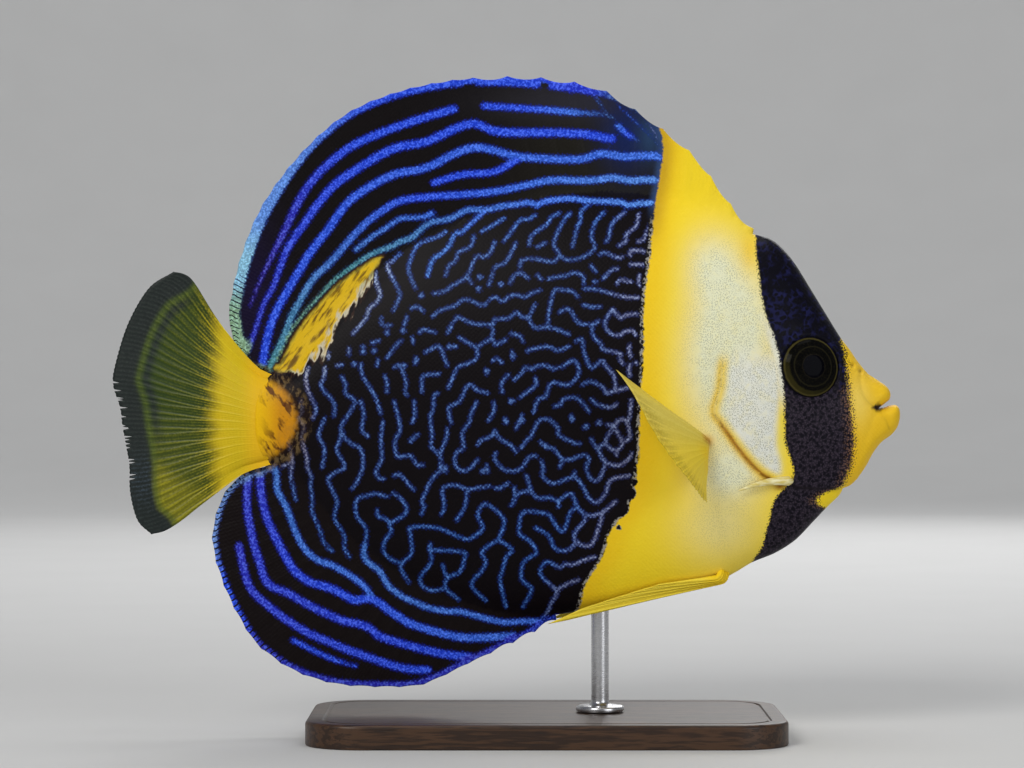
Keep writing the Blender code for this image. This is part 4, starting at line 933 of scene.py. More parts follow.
    def read(self, grid: Array, places: Array) -> Array:
        """Reads a grown grid between its cells, as nothing beyond the flank.

        Args:
            grid: The grown grid.
            places: Places of the mid-plane.

        Returns:
            The pattern at each place, above 0 in a light line.
        """
        across = np.clip((places[:, 0] - self.low[0]) / self.cell, 0, grid.shape[1] - 1.001)
        up = np.clip((places[:, 1] - self.low[1]) / self.cell, 0, grid.shape[0] - 1.001)
        i, j = up.astype(int), across.astype(int)
        s, t = up - i, across - j
        x, z = places.T
        room = np.minimum(through(SCRIBBLE_TOP, x) - z, z - through(SCRIBBLE_LOW, x))
        return (
            grid[i, j] * (1 - s) * (1 - t) + grid[i, j + 1] * (1 - s) * t
            + grid[i + 1, j] * s * (1 - t) + grid[i + 1, j + 1] * s * t
        ) - 3 * rise(room, 1.8, 0.4)


@dataclass(frozen=True)
class DrawnScribbles:
    """The labyrinth of the flank that the photograph shows.

    Attributes:
        lines: Its lines in picture pixels, x and y by turns.
        dots: Its dots in picture pixels.
        half_width: Half the breadth of a line.
        dot_radius: The radius of a dot.
        edge: How broad the blurred edge of a line is.
    """

    lines: tuple[tuple[int, ...], ...] = LINES_ABOVE + LINES_MIDDLE + LINES_REAR + LINES_BELOW
    dots: tuple[tuple[int, int], ...] = DOTS
    half_width: float = 0.52
    dot_radius: float = 0.78
    edge: float = 0.58

    def read(self, places: Array) -> Array:
        """How far inside a line or dot places lie: above 0 within one.

        Args:
            places: Places of the mid-plane.

        Returns:
            The pattern at each place, 0 on the edge of a line.
        """
        drawn = np.vstack([smooth_path(picture(*line), 0.25) for line in self.lines])
        dots = np.vstack([picture(*dot) for dot in self.dots])
        return np.maximum(self.half_width - nearest(drawn, places),
                          self.dot_radius - nearest(dots, places)) / self.edge


def layered(base: Array | Colour, *layers: tuple[Array, Colour]) -> Array:
    """Lays colours over each other.

    Args:
        base: The lowest colour, or one for each place.
        layers: For each further colour its strength at each place, and the colour.

    Returns:
        The colour at each place.
    """
    base = np.array(base)
    for amount, colour in layers:
        base = base + np.clip(amount, 0, 1)[:, None] * (np.array(colour) - base)
    return base


@dataclass(frozen=True)
class Markings:
    """The colours and lines of the skin, worked out at places of the mid-plane.

    Attributes:
        edging: How broad the light edge of the dorsal fin is.
        anal_edging: How broad that of the anal fin is.
        gap: How far from the band the scribbles stop.
        yellow: The band's colour.
        gold: Its deeper yellow.
        cream: Its pale parts.
        silver: The plate of the gill cover.
    """

    edging: float = 1.9
    anal_edging: float = 1.6
    gap: float = 0.7
    yellow: Colour = (0.94, 0.68, 0.016)
    gold: Colour = (0.88, 0.52, 0.003)
    cream: Colour = (0.8, 0.82, 0.62)
    silver: Colour = (0.78, 0.81, 0.79)

    def zones(self, places: Array) -> dict[str, Array]:
        """Measures places against the edges of the great markings.

        Args:
            places: Places of the mid-plane.

        Returns:
            How far each place lies inside the band, the mask, the yellow patch and the root of
            the tail, in millimetres, and how far the patch's edge breaks into tongues there.
        """
        x, z = places[:, 0], places[:, 1]
        patch = smooth_path(YELLOW_PATCH + YELLOW_PATCH[:1], 1.0)
        away = nearest(patch, places)
        border = nearest(smooth_path(TOP_BORDER.course, 0.4), places)
        reach = np.hypot((x - TAIL_ROOT[0]) / TAIL_ROOT_REACH[0],
                         (z - TAIL_ROOT[1]) / TAIL_ROOT_REACH[1])
        return {
            "band": x - through(BAND_EDGE, z) - mounds(x, z, *BAND_SPOTS),
            "mask": np.minimum(x - through(MASK_REAR, z),
                               (through(MASK_FRONT, z) - x) * 0.45 + 0.35),
            "patch": np.minimum(np.where(inside(places, patch), away, -away), border - 0.9),
            "tongue": rise(border, 2.5, 6.5),
            "root": (1 - reach) * 12,
            "rear": rise(x, -63.0, -59.5),
        }

    def stripes(self, places: Array, region: Array) -> tuple[Array, Array]:
        """Measures places against the stripes and the edgings of the fins.

        Args:
            places: Places of the mid-plane.
            region: The region that each belongs to.

        Returns:
            How far inside a stripe each place lies, about 1 at its middle and below 0 outside,
            and the colour of the light lines there.
        """
        x, z = places[:, 0], places[:, 1]
        best = np.full(len(places), -1.5)
        closest = np.full(len(places), 9.0)
        tone = np.zeros((len(places), 3))
        for stripe in STRIPES:
            line = Trace.smooth(stripe.course, 1.2)
            low, high = line.points.min(0) - 4, line.points.max(0) + 4
            index = np.nonzero(((places > low) & (places < high)).all(1))[0]
            away, along, _ = line.measure(places[index])
            away -= (stripe.half_width - 0.05) * (1 - stripe.fade * rise(along, 0.6, 1.0))
            best[index] = np.maximum(best[index], -away / 0.6)
            closer = away < closest[index]
            index, along = index[closer], along[closer]
            closest[index] = away[closer]
            knots, tones = np.linspace(0, 1, len(stripe.tones)), np.array(stripe.tones)
            tone[index] = np.column_stack([np.interp(along, knots, tones[:, k]) for k in range(3)])
        colour = self.scribble_colour(x, z)
        colour += rise(closest, 1.2, 0.5)[:, None] * (tone - colour)
        best -= (3 - 2.2 * rise(z, 128, 134)) * rise(self.band_side(x, z), -0.9, -0.2)
        for kind, fin, breadth in ((Region.DORSAL, DORSAL, self.edging),
                                   (Region.ANAL, ANAL, self.anal_edging)):
            chosen = region == kind.value
            away = nearest(fin.margin, places[chosen])
            if kind is Region.DORSAL:
                broad = breadth + 1.2 * rise(x, -46, -60)[chosen]
                broad += 1.3 * mound(x, z, (12, 164), (18, 6))[chosen]
                broad -= 1.2 * rise(x, 20, 30)[chosen] + 2.4 * (rise(z, 99, 94) * (x < 0))[chosen]
                for at in picture(259, 211, 244, 241, 470, 88, 545, 85):
                    broad -= 2.6 * mound(x, z, at, (1.1, 0.8))[chosen]
            else:
                broad = np.full(len(away), breadth)
            best[chosen] = np.maximum(best[chosen], (broad - away) / 0.6)
            edge = rise(away - broad, 0.9, 0.2)[:, None]
            colour[chosen] += edge * (self.edging_colour(kind, x, z)[chosen] - colour[chosen])
        return best, colour

    def band_side(self, x: Array, z: Array) -> Array:
        """How far in front of the band's rear edge places lie."""
        return x - through(BAND_EDGE, z)

    def scribble_colour(self, x: Array, z: Array) -> Array:
        """The colour of the labyrinth: lilac by the band, deeper blue below, brighter above.

        Args:
            x: How far forward the places lie.
            z: Their levels.

        Returns:
            The colour at each place.
        """
        patch_edge = smooth_path(YELLOW_PATCH[PATCH_FRONT:], 1.0)
        beside_patch = rise(nearest(patch_edge, np.column_stack([x, z])), 6, 2)
        return layered(
            (0.055, 0.12, 0.36),
            (rise(z, 66, 50), (0.035, 0.12, 0.42)),
            (rise(through(SCRIBBLE_TOP, x) - z, 12, 3), (0.06, 0.17, 0.55)),
            (0.85 * rise(self.band_side(x, z), -13, -3), (0.22, 0.23, 0.38)),
            (0.8 * rise(x, -46, -51) * rise(z, 62, 72), (0.3, 0.25, 0.3)),
            (0.6 * beside_patch, (0.45, 0.5, 0.62)),
        )

    def edging_colour(self, kind: Region, x: Array, z: Array) -> Array:
        """The colour of a fin's light edge, from royal in front to pale at the rear.

        Args:
            kind: Which fin it is.
            x: How far forward the places lie.
            z: Their levels.

        Returns:
            The colour at each place.
        """
        if kind is Region.ANAL:
            return layered(INDIGO, (rise(z, 22, 34), ROYAL), (rise(z, 38, 50), (0.13, 0.24, 0.6)))
        return layered(
            ROYAL,
            (0.7 * rise(x, 2, 18), (0.02, 0.03, 0.62)),
            (rise(x, 20, 29), HAZE),
            (rise(x, -32, -58), (0.1, 0.24, 0.72)),
            (rise(z, 131, 118) * (x < 0), (0.24, 0.5, 0.7)),
            (rise(z, 115, 106) * (x < 0), (0.25, 0.42, 0.26)),
        )

    def ground(self, places: Array, region: Array) -> Array:
        """The colour between the light lines.

        Args:
            places: Places of the mid-plane.
            region: The region that each belongs to.

        Returns:
            The colour at each place.
        """
        x, z = places.T
        dorsal = (region == Region.DORSAL.value) * 1.0
        hazy = rise(self.band_side(x, z), -2.2, -0.4) * rise(z, 128, 134)
        return layered(
            (0.0035, 0.002, 0.0032),
            (0.9 * (region == Region.ANAL.value), (0.0055, 0.003, 0.0032)),
            (dorsal, (0.0045, 0.003, 0.0035)),
            (dorsal * rise(x, -12, 22), (0.012, 0.0105, 0.007)),
            (mound(x, z, (20, 158.5), (22, 5)), (0.022, 0.021, 0.03)),
            (0.9 * mound(x, z, (30, 150), (6, 9)), (0.006, 0.016, 0.09)),
            (0.9 * mound(x, z, (36, 150), (3, 6)), (0.02, 0.05, 0.12)),
            (0.75 * hazy, (0.035, 0.075, 0.2)),
            (0.7 * mound(x, z, (-64, 112), (7, 22)), (0.007, 0.003, 0.03)),
        )

    def warm(self, places: Array) -> tuple[Array, Array]:
        """The colour of the light parts, with painted shade under the gill cover's rim and at the
        top of the band, and how thickly dark specks lie on them.

        Args:
            places: Places of the mid-plane.

        Returns:
            The colours and the density of specks at each place.
        """
        x, z = places.T
        border = self.band_side(x, z)
        pale = mounds(x, z, *PALE_PARTS)
        away, along, side = GILL_TRACE.measure(places)
        open_part = rise(along, 0.02, 0.1) * rise(along, 0.72, 0.66)
        front = through(MASK_REAR, z) - x
        plate = self.plate(x, z, away, side)
        white_edge = rise(front, 2.8, 0.4) * rise(z, 79, 88) * rise(z, 108, 98) * (front > -1)
        rim = np.exp(-(((away - 0.5) / 0.95) ** 2)) * open_part
        # Painted shadow under the gill cover's rim, along the opening
        under = np.exp(-(((away - 0.1) / 0.45) ** 2)) * rise(along, 0.28, 0.4) * open_part
        snout, tail = rise(x, 82, 86), rise(x, -46, -52)
        colour = layered(
            self.yellow,
            (0.6 * rise(border, 8, 1), self.gold),
            # Painted shade: deeper brown-orange at the top of the band, next to its rear edge
            (0.65 * rise(z, 118, 132) * rise(border, 4.5, 0), (0.42, 0.2, 0.01)),
            (pale, self.cream),
            (0.55 * mound(x, z, (60.5, 121), (2.4, 5)), self.gold),
            (0.6 * mound(x, z, (67.5, 73), (2.0, 9)) * rise(side, 0, 1), (0.88, 0.74, 0.16)),
            (np.maximum(plate, 0.9 * white_edge) * (x < 71), self.silver),
            (0.8 * rim * rise(x, 71, 68), (0.88, 0.6, 0.03)),
            # the painted shadow under the gill cover's rim
            (0.85 * under, (0.42, 0.12, 0.002)),
            (mound(x, z, (49.4, 74.0), (1.5, 1.2)), (0.5, 0.19, 0.002)),
            (mound(x, z, (67.8, 62.6), (1.5, 0.8)), (0.3, 0.07, 0.002)),
            (snout, (0.82, 0.49, 0.012)),
            (0.5 * snout * mound(x, z, (87.5, 84), (3.0, 6)), (0.9, 0.72, 0.2)),
            (tail, (0.62, 0.26, 0.006)),
            (tail * rise(x, -55, -62.5), (0.84, 0.5, 0.006)),
        )
        specks = np.clip(1.0 * plate + 0.8 * np.clip(pale, 0, 1), 0, 1)
        return colour, specks * (1 - snout) * (x > 20)

    def plate(self, x: Array, z: Array, away: Array, side: Array) -> Array:
        """How fully places belong to the silver plate of the gill cover.

        Args:
            x: How far forward the places lie.
            z: Their levels.
            away: How far they lie from the gill opening.
            side: The side of it on which they lie, 1 in front.

        Returns:
            From 0 to 1 at each place.
        """
        left, right = rise(away, 1.0, 2.6), rise(x, 71.5, 69.5)
        hollow = through(((60.0, 4.0), (68.0, 2.6), (80.0, 1.4), (89.0, 0.4), (104.0, 0.0)), z)
        front = rise(through(MASK_REAR, z) - x, hollow - 0.8, hollow + 1.4)
        return left * right * front * rise(z, 100, 90) * rise(x, 52.5, 56) * (side > 0)

    def groove(self, places: Array) -> Array:
        """The painted shade in the folds: the gill's lower end, the mouth, its corners and the
        nostrils.

        Args:
            places: Places of the mid-plane.

        Returns:
            The darkness at each place.
        """
        x, z = places.T
        away, along, _ = GILL_TRACE.measure(places)
        groove = np.exp(-((away / 0.45) ** 2)) * rise(along, 0.62, 0.72) * rise(along, 1.0, 0.95)
        for line, breadth in ((MOUTH_CREASE, 0.4), (LIP_CREASE, 0.3)):
            away, along, _ = Trace.smooth(line, 0.5).measure(places)
            groove = np.maximum(groove, 0.28 * np.exp(-((away / breadth) ** 2)) * rise(along, 0, 1))
        for at in NOSTRILS:
            away = np.hypot(x - at[0], z - at[1])
            groove = np.maximum(groove, 0.6 * np.exp(-((away / 0.4) ** 2)))
        gape = (1.8 - np.abs(x - 92.6)) * 0.55 - np.abs(z - 82.2)
        return np.maximum(groove, 1.25 * rise(gape, -0.25, 0.25))


def painted(mesh: bpy.types.Mesh, name: str, values: Array) -> None:
    """Stores a number or a colour for each point of a mesh.

    Args:
        mesh: The mesh.
        name: The attribute's name.
        values: One number or one colour for each point.
    """
    if values.ndim == 1:
        layer = mesh.attributes.new(name, "FLOAT", "POINT")
        layer.data.foreach_set("value", values.astype(np.float32))
    else:
        layer = mesh.attributes.new(name, "FLOAT_COLOR", "POINT")
        full = np.column_stack([values, np.ones(len(values))]).astype(np.float32)
        layer.data.foreach_set("color", full.ravel())


def linked(name: str, data: bpy.types.ID) -> bpy.types.Object:
    """Puts a mesh, lamp or camera into the scene.

    Args:
        name: The new object's name.
        data: What it shows.

    Returns:
        The object.
    """
    made = bpy.data.objects.new(name, data)
    bpy.context.scene.collection.objects.link(made)
    return made


def mesh_object(name: str, points: Array, faces: Array) -> bpy.types.Object:
    """Makes an object of a mesh.

    Args:
        name: The object's name.
        points: Its points in millimetres.
        faces: Faces of three or of four corners, one a row.

    Returns:
        The object, shaded smooth, in the scene.
    """
    mesh = bpy.data.meshes.new(name)
    size = faces.shape[1]
    mesh.vertices.add(len(points))
    mesh.vertices.foreach_set("co", (np.asarray(points) * MM).astype(np.float32).ravel())
    mesh.loops.add(faces.size)
    mesh.loops.foreach_set("vertex_index", faces.astype(np.int32).ravel())
    mesh.polygons.add(len(faces))
    mesh.polygons.foreach_set("loop_start", np.arange(0, faces.size, size, dtype=np.int32))
    mesh.update(calc_edges=True)
    mesh.validate()
    mesh.shade_smooth()
    return linked(name, mesh)


def unwrapped(mesh: bpy.types.Mesh, corners: Array) -> None:
    """Gives a mesh its bake map, from one place of the map for each face corner."""
    layer = mesh.uv_layers.new(name="OFBake")
    layer.data.foreach_set("uv", corners.astype(np.float32).ravel())


def dressed(piece: bpy.types.Object, material: bpy.types.Material, slot: str, *nodes: str) -> None:
    """Gives a finished piece its material and body, and lets it stand for solids.

    Args:
        piece: The piece.
        material: Its material.
        slot: The record's slot; not used.
        nodes: The solids that it stands for.
    """
    piece.data.materials.clear()
    piece.data.materials.append(material)
    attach(piece, "root")
    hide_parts(*nodes)
    log.info("%s: %d faces for %s", piece.name, len(piece.data.polygons), ", ".join(nodes))


@dataclass
class Graph:
    """Adds shader nodes to one material.

    Attributes:
        material: The material.
    """

    material: bpy.types.Material

    @classmethod
    def new(cls, name: str) -> "Graph":
        """A graph on a new material.

        Args:
            name: The material's name.

        Returns:
            The graph.
        """
        material = bpy.data.materials.new(name)
        material.use_nodes = True
        return cls(material)

    @property
    def shader(self) -> bpy.types.Node:
        """The material's surface shader."""
        return self.material.node_tree.nodes["Principled BSDF"]

    def add(self, kind: str, inputs: dict, **settings: object) -> bpy.types.Node:
        """Adds a node.

        Args:
            kind: The node's type, without the words that all types start with.
            inputs: Values or sockets for its inputs, by name or number.
            settings: Its properties.

        Returns:
            The node.
        """
        node = self.material.node_tree.nodes.new("ShaderNode" + kind)
        for name, value in settings.items():
            setattr(node, name, value)
        for name, value in inputs.items():
            self.feed(node.inputs[name], value)
        return node

    def feed(self, socket: bpy.types.NodeSocket, value: object) -> None:
        """Links a socket into an input, or sets the input to a value.

        Args:
            socket: The input.
            value: A socket or a value.
        """
        if isinstance(value, bpy.types.NodeSocket):
            self.material.node_tree.links.new(value, socket)
        elif isinstance(value, tuple) and len(value) == 3 and socket.type == "RGBA":
            socket.default_value = (*value, 1)
        else:
            socket.default_value = value

    def surface(self, **inputs: object) -> None:
        """Feeds the surface shader, with underscores for the spaces of its input names."""
        for name, value in inputs.items():
            self.feed(self.shader.inputs[name.replace("_", " ")], value)

    def place(self) -> bpy.types.NodeSocket:
        """Object coordinates."""
        return self.add("TexCoord", {}).outputs["Object"]

    def flat(self) -> bpy.types.NodeSocket:
        """Object coordinates in the mid-plane of the fish."""
        parts = self.add("SeparateXYZ", {0: self.place()})
        return self.add("CombineXYZ", {0: parts.outputs[0], 1: parts.outputs[2]}).outputs[0]

    def number(self, name: str) -> bpy.types.NodeSocket:
        """A number stored on the mesh."""
        return self.add("Attribute", {}, attribute_name=name).outputs["Fac"]

    def colour(self, name: str) -> bpy.types.NodeSocket:
        """A colour stored on the mesh."""
        return self.add("Attribute", {}, attribute_name=name).outputs["Color"]

    def math(self, operation: str, *values: object) -> bpy.types.NodeSocket:
        """The result of one sum."""
        return self.add("Math", dict(enumerate(values)), operation=operation).outputs[0]

    def times(self, first: object, second: object) -> bpy.types.NodeSocket:
        """The product of two values."""
        return self.math("MULTIPLY", first, second)

    def wave(self, value: object, pace: float) -> bpy.types.NodeSocket:
        """The sine of a value times its pace."""
        return self.math("SINE", self.times(value, pace))

    def sum(self, *terms: object) -> bpy.types.NodeSocket:
        """The sum of terms, each a value or a (value, factor) pair.

        Args:
            terms: The terms.

        Returns:
            The sum's socket.
        """
        total = None
        for term in terms:
            value, factor = term if isinstance(term, tuple) else (term, 1.0)
            if total is None:
                total = self.math("MULTIPLY", value, factor)
            else:
                total = self.math("MULTIPLY_ADD", value, factor, total)
        return total

    def step(self, value: object, low: float, high: float) -> bpy.types.NodeSocket:
        """A smooth step from 0 at low to 1 at high.

        Args:
            value: What is read.
            low: Where it starts.
            high: Where it ends.

        Returns:
            The step's socket.
        """
        inputs = {"Value": value, "From Min": low, "From Max": high}
        if low > high:
            inputs |= {"From Min": high, "From Max": low, "To Min": 1.0, "To Max": 0.0}
        return self.add("MapRange", inputs, interpolation_type="SMOOTHSTEP").outputs[0]

    def mix(self, amount: object, first: object, second: object) -> bpy.types.NodeSocket:
        """Two colours mixed."""
        node = self.add("Mix", {0: amount, 6: first, 7: second}, data_type="RGBA")
        return node.outputs[2]

    def noise(self, size: float, detail: float = 2.0, vector: object = None,
              roughness: float = 0.5) -> bpy.types.NodeSocket:
        """Cloudy noise from 0 to 1, whose features are about size millimetres across.

        Args:
            size: The size of its features.
            detail: How many finer layers it has.
            vector: Coordinates, or else those of the object.
            roughness: How strong the finer layers are.

        Returns:
            The noise's socket.
        """
        inputs = {"Vector": vector or self.place(), "Scale": 1 / (size * MM), "Detail": detail,
                  "Roughness": roughness}
        return self.add("TexNoise", inputs).outputs["Fac"]

    def unsettled(self, vector: object, size: float, reach: float) -> bpy.types.NodeSocket:
        """Coordinates pushed about by noise, by up to about reach millimetres.

        Args:
            vector: The coordinates.
            size: The size of the noise's features.
            reach: How far it pushes.

        Returns:
            The pushed coordinates.
        """
        inputs = {"Vector": vector, "Scale": 1 / (size * MM), "Detail": 1.0}
        push = self.add("TexNoise", inputs).outputs["Color"]
        return self.add("VectorMath", {0: push, 1: (2 * reach * MM,) * 3, 2: vector},
                        operation="MULTIPLY_ADD").outputs[0]

    def cells(self, size: float, uneven: float, vector: object = None) -> bpy.types.NodeSocket:
        """The distance to the middle of the nearest cell, for cells size millimetres across.

        Args:
            size: How broad cells are.
            uneven: How far they stray from a grid.
            vector: Flat coordinates, or else the object's own.

        Returns:
            The distance's socket.
        """
        inputs = {"Vector": vector or self.place(), "Scale": 1 / (size * MM),
                  "Randomness": uneven}
        flat = "2D" if vector else "3D"
        return self.add("TexVoronoi", inputs, voronoi_dimensions=flat).outputs["Distance"]

    def turned(self, vector: object, degrees: float, stretch: Colour = (1, 1, 1)
               ) -> bpy.types.NodeSocket:
        """Coordinates turned about their Z, in which textures are stretched along each axis."""
        inputs = {"Vector": vector, "Rotation": (0, 0, math.radians(degrees)), "Scale": stretch}
        return self.add("Mapping", inputs, vector_type="TEXTURE").outputs[0]

    def bump(self, height: object, depth: float, under: object = None) -> bpy.types.NodeSocket:
        """A normal bumped by a height of 0 to 1, depth millimetres deep.

        Args:
            height: What stands out.
            depth: How far.
            under: A normal that it is added to.

        Returns:
            The normal's socket.
        """
        inputs = {"Height": height, "Distance": depth * MM, "Strength": 1.0}
        if under:
            inputs["Normal"] = under
        return self.add("Bump", inputs).outputs[0]


@dataclass(frozen=True)
class SkinFinish:
    """The painted, scaled skin of body, head and middle fins.

    Attributes:
        scale: How broad a scale is.
        roughness: Of the skin.
        wet: The strength of the clear slime over it.
    """

    scale: float = 0.8
    roughness: float = 0.5
    wet: float = 0.03

    def material(self) -> bpy.types.Material:
        """Builds the skin's material from the numbers and colours stored on the mesh.

        Returns:
            The material.
        """
        g = Graph.new("scribbled_skin")
        flat = g.flat()
        scales = g.cells(self.scale, 0.4, g.turned(flat, 45))
        grain = g.noise(0.42, 2.0)
        ragged = g.noise(1.3, 3.0, roughness=0.65)
        body = self.lined(g, scales, grain)
        light = self.light(g, ragged)
        band = g.sum(g.number("band"), (ragged, 1.6), (grain, 0.6))
        beads = g.times(g.step(band, 0.1, 0.5), g.step(g.noise(0.7, 1.0), 0.42, 0.56))
        beads = g.times(beads, g.step(g.number("height"), 131.0, 126.0))
        colour = g.mix(beads, body, (0.3, 0.29, 0.27))
        colour = g.mix(g.step(band, 0.75, 1.35), colour, light)
        colour = self.patched(g, flat, ragged, colour)
        colour = self.tail_root(g, flat, ragged, colour)
        dusting = g.step(g.cells(0.5, 1.0, flat), 0.5, 0.15)
        mask = g.sum(g.number("mask"), (ragged, 0.9), (grain, 0.5), (dusting, 0.5), -0.25)
        mask = g.step(mask, 0.4, 1.05)
        colour = g.mix(mask, colour, self.mask(g, ragged))
        # Painted shade in the head's folds, nostrils and mouth gap
        groove = g.times(g.number("groove"), 0.8)
        colour = g.mix(groove, colour, (0.012, 0.008, 0.012))
        g.surface(Base_Color=colour, Roughness=self.roughness, Normal=self.relief(g, scales, grain),
                  Coat_Weight=self.wet, Coat_Roughness=0.3, Specular_IOR_Level=0.07)
        return g.material

    def lined(self, g: Graph, scales: object, grain: object) -> bpy.types.NodeSocket:
        """The dark ground with its light lines, each a row of scales with painted glints.

        Args:
            g: The material's graph.
            scales: The pattern of the scales.
            grain: Fine noise.

        Returns:
            The colour's socket.
        """
        comb = g.step(g.wave(g.number("phase"), 8 * math.pi), 0.55, 0.9)
        comb = g.times(comb, g.number("comb"))
        level = g.sum(g.number("lines"), (grain, 1.7), (scales, -1.0), (comb, -3.0), -0.5)
        halo = g.mix(g.times(g.step(level, -0.75, 0.1), 0.42), g.colour("ground"),
                     g.colour("line_deep"))
        # Painted glints: beads of brightened line colour that stand for light glinting off single
        # scales
        painted_glints = g.mix(g.step(g.noise(0.55, 1.0), 0.38, 0.7), g.colour("line_colour"),
                       g.colour("line_glint"))
        return g.mix(g.step(level, -0.05, 0.85), halo, painted_glints)

    def light(self, g: Graph, ragged: object) -> bpy.types.NodeSocket:
        """The yellow, cream and silver parts with their dark specks.

        Args:
            g: The material's graph.
            ragged: The noise that breaks edges.

        Returns:
            The colour's socket.
        """
        specks = g.step(g.cells(0.42, 1.0, g.flat()), 0.4, 0.12)
        patchy = g.step(g.noise(3.0, 2.0), 0.25, 0.55)
        amount = g.times(specks, g.times(patchy, g.number("specks")))
        cloud = g.times(g.step(g.noise(2.6, 4.0), 0.48, 0.7), g.number("specks"))
        warm = g.mix(g.times(ragged, 0.2), g.colour("warm"), (0.97, 0.78, 0.08))
        warm = g.mix(g.times(cloud, 0.22), warm, (0.9, 0.8, 0.3))
        return g.mix(g.times(amount, 0.66), warm, (0.13, 0.13, 0.06))

    def patched(self, g: Graph, flat: object, ragged: object, colour: object
                ) -> bpy.types.NodeSocket:
        """Lays the yellow patch of the rear back over a colour: pale tongues, brown streaks.

        Args:
            g: The material's graph.
            flat: Coordinates in the mid-plane.
            ragged: The noise that breaks edges.
            colour: The colour below.

        Returns:
            The colour's socket.
        """
        tongues = g.noise(1.5, 2.0, g.turned(flat, 74, (3.2, 1, 1)))
        loose = g.number("tongue")
        tongues = g.times(g.sum(tongues, -0.5), loose)
        level = g.sum(g.number("patch"), (tongues, 9.0), (ragged, 0.9), 1.5)
        edge = g.mix(loose, (0.25, 0.34, 0.08), (0.6, 0.55, 0.4))
        colour = g.mix(g.step(level, 1.3, 2.2), colour, (0.03, 0.012, 0.008))
        colour = g.mix(g.step(level, 2.1, 3.0), colour, edge)
        streak = g.noise(1.5, 3.0, g.turned(flat, 54, (4.5, 1, 1)), 0.6)
        yellow = g.mix(g.step(streak, 0.47, 0.66), (0.72, 0.46, 0.014), (0.17, 0.09, 0.01))
        level = g.sum(level, g.step(loose, 0.9, 0.1))
        return g.mix(g.step(level, 2.8, 4.2), colour, yellow)

    def tail_root(self, g: Graph, flat: object, ragged: object, colour: object
                  ) -> bpy.types.NodeSocket:
        """Lays the orange root of the tail over a colour, with brown bars and a dark outline.

        Args:
            g: The material's graph.
            flat: Coordinates in the mid-plane.
            ragged: The noise that breaks edges.
            colour: The colour below.

        Returns:
            The colour's socket.
        """
        level = g.sum(g.number("root"), (ragged, 1.6), -0.8)
        mottle = g.noise(1.5, 3.0, g.turned(flat, 80, (1.6, 1, 1)), 0.6)
        tan = g.mix(g.step(mottle, 0.48, 0.62), (0.012, 0.005, 0.004), (0.17, 0.11, 0.045))
        colour = g.mix(g.times(g.step(level, -3.4, -1.6), 0.8), colour, tan)
        bars = g.noise(2.2, 3.0, g.turned(flat, -58, (2.2, 1, 1)), 0.55)
        brown = g.times(g.step(bars, 0.5, 0.62), g.step(g.number("root"), 9.0, 2.0))
        brown = g.times(brown, g.number("rear"))
        orange = g.mix(brown, g.colour("warm"), (0.09, 0.022, 0.004))
        shade = g.times(g.step(mottle, 0.3, 0.7), g.step(g.number("root"), 6.0, 0.0))
        orange = g.mix(g.times(shade, 0.5), orange, (0.3, 0.15, 0.03))
        return g.mix(g.step(level, -0.6, 1.4), colour, orange)

    def mask(self, g: Graph, ragged: object) -> bpy.types.NodeSocket:
        """The mask: black spots in a navy net above, in dusky stipple below.

        Args:
            g: The material's graph.
            ragged: The noise that breaks edges.

        Returns:
            The colour's socket.
        """
        spots = g.cells(1.25, 1.0, g.unsettled(g.flat(), 1.6, 0.8))
        net = g.times(g.step(spots, 0.3, 0.55), g.step(g.noise(3.0, 3.0), 0.38, 0.66))
        upper = g.mix(net, (0.0025, 0.0022, 0.006), (0.01, 0.011, 0.056))
        fine = g.step(g.cells(0.55, 1.0, g.flat()), 0.5, 0.15)
        dusty = g.times(g.sum((fine, 0.7), 0.3), g.step(spots, 0.2, 0.45))
        lower = g.mix(dusty, (0.004, 0.003, 0.007), (0.042, 0.031, 0.047))
        high = g.step(g.sum(g.number("height"), (ragged, 9.0)), 88.0, 96.0)
        brown = g.times(g.step(g.sum(g.number("dusk"), (ragged, 2.0)), 4.0, 0.8), fine)
        return g.mix(g.times(brown, 0.8), g.mix(high, lower, upper), (0.26, 0.13, 0.07))

    def relief(self, g: Graph, scales: object, grain: object) -> bpy.types.NodeSocket:
        """Scales, and fine cross-lined rays on the fins.

        Args:
            g: The material's graph.
            scales: The pattern of the scales.
            grain: Fine noise.

        Returns:
            The normal's socket.
        """
        rays = g.wave(g.number("phase"), 2 * math.pi * 6)
        fin = g.times(g.sum((rays, 0.5), 0.5), g.number("fin"))
        low = g.bump(g.sum((scales, -0.9), (grain, 0.35)), 0.07)
        return g.bump(fin, 0.03, low)


INNER = 9.0  # the distance from the rim that stands for any beyond its rings


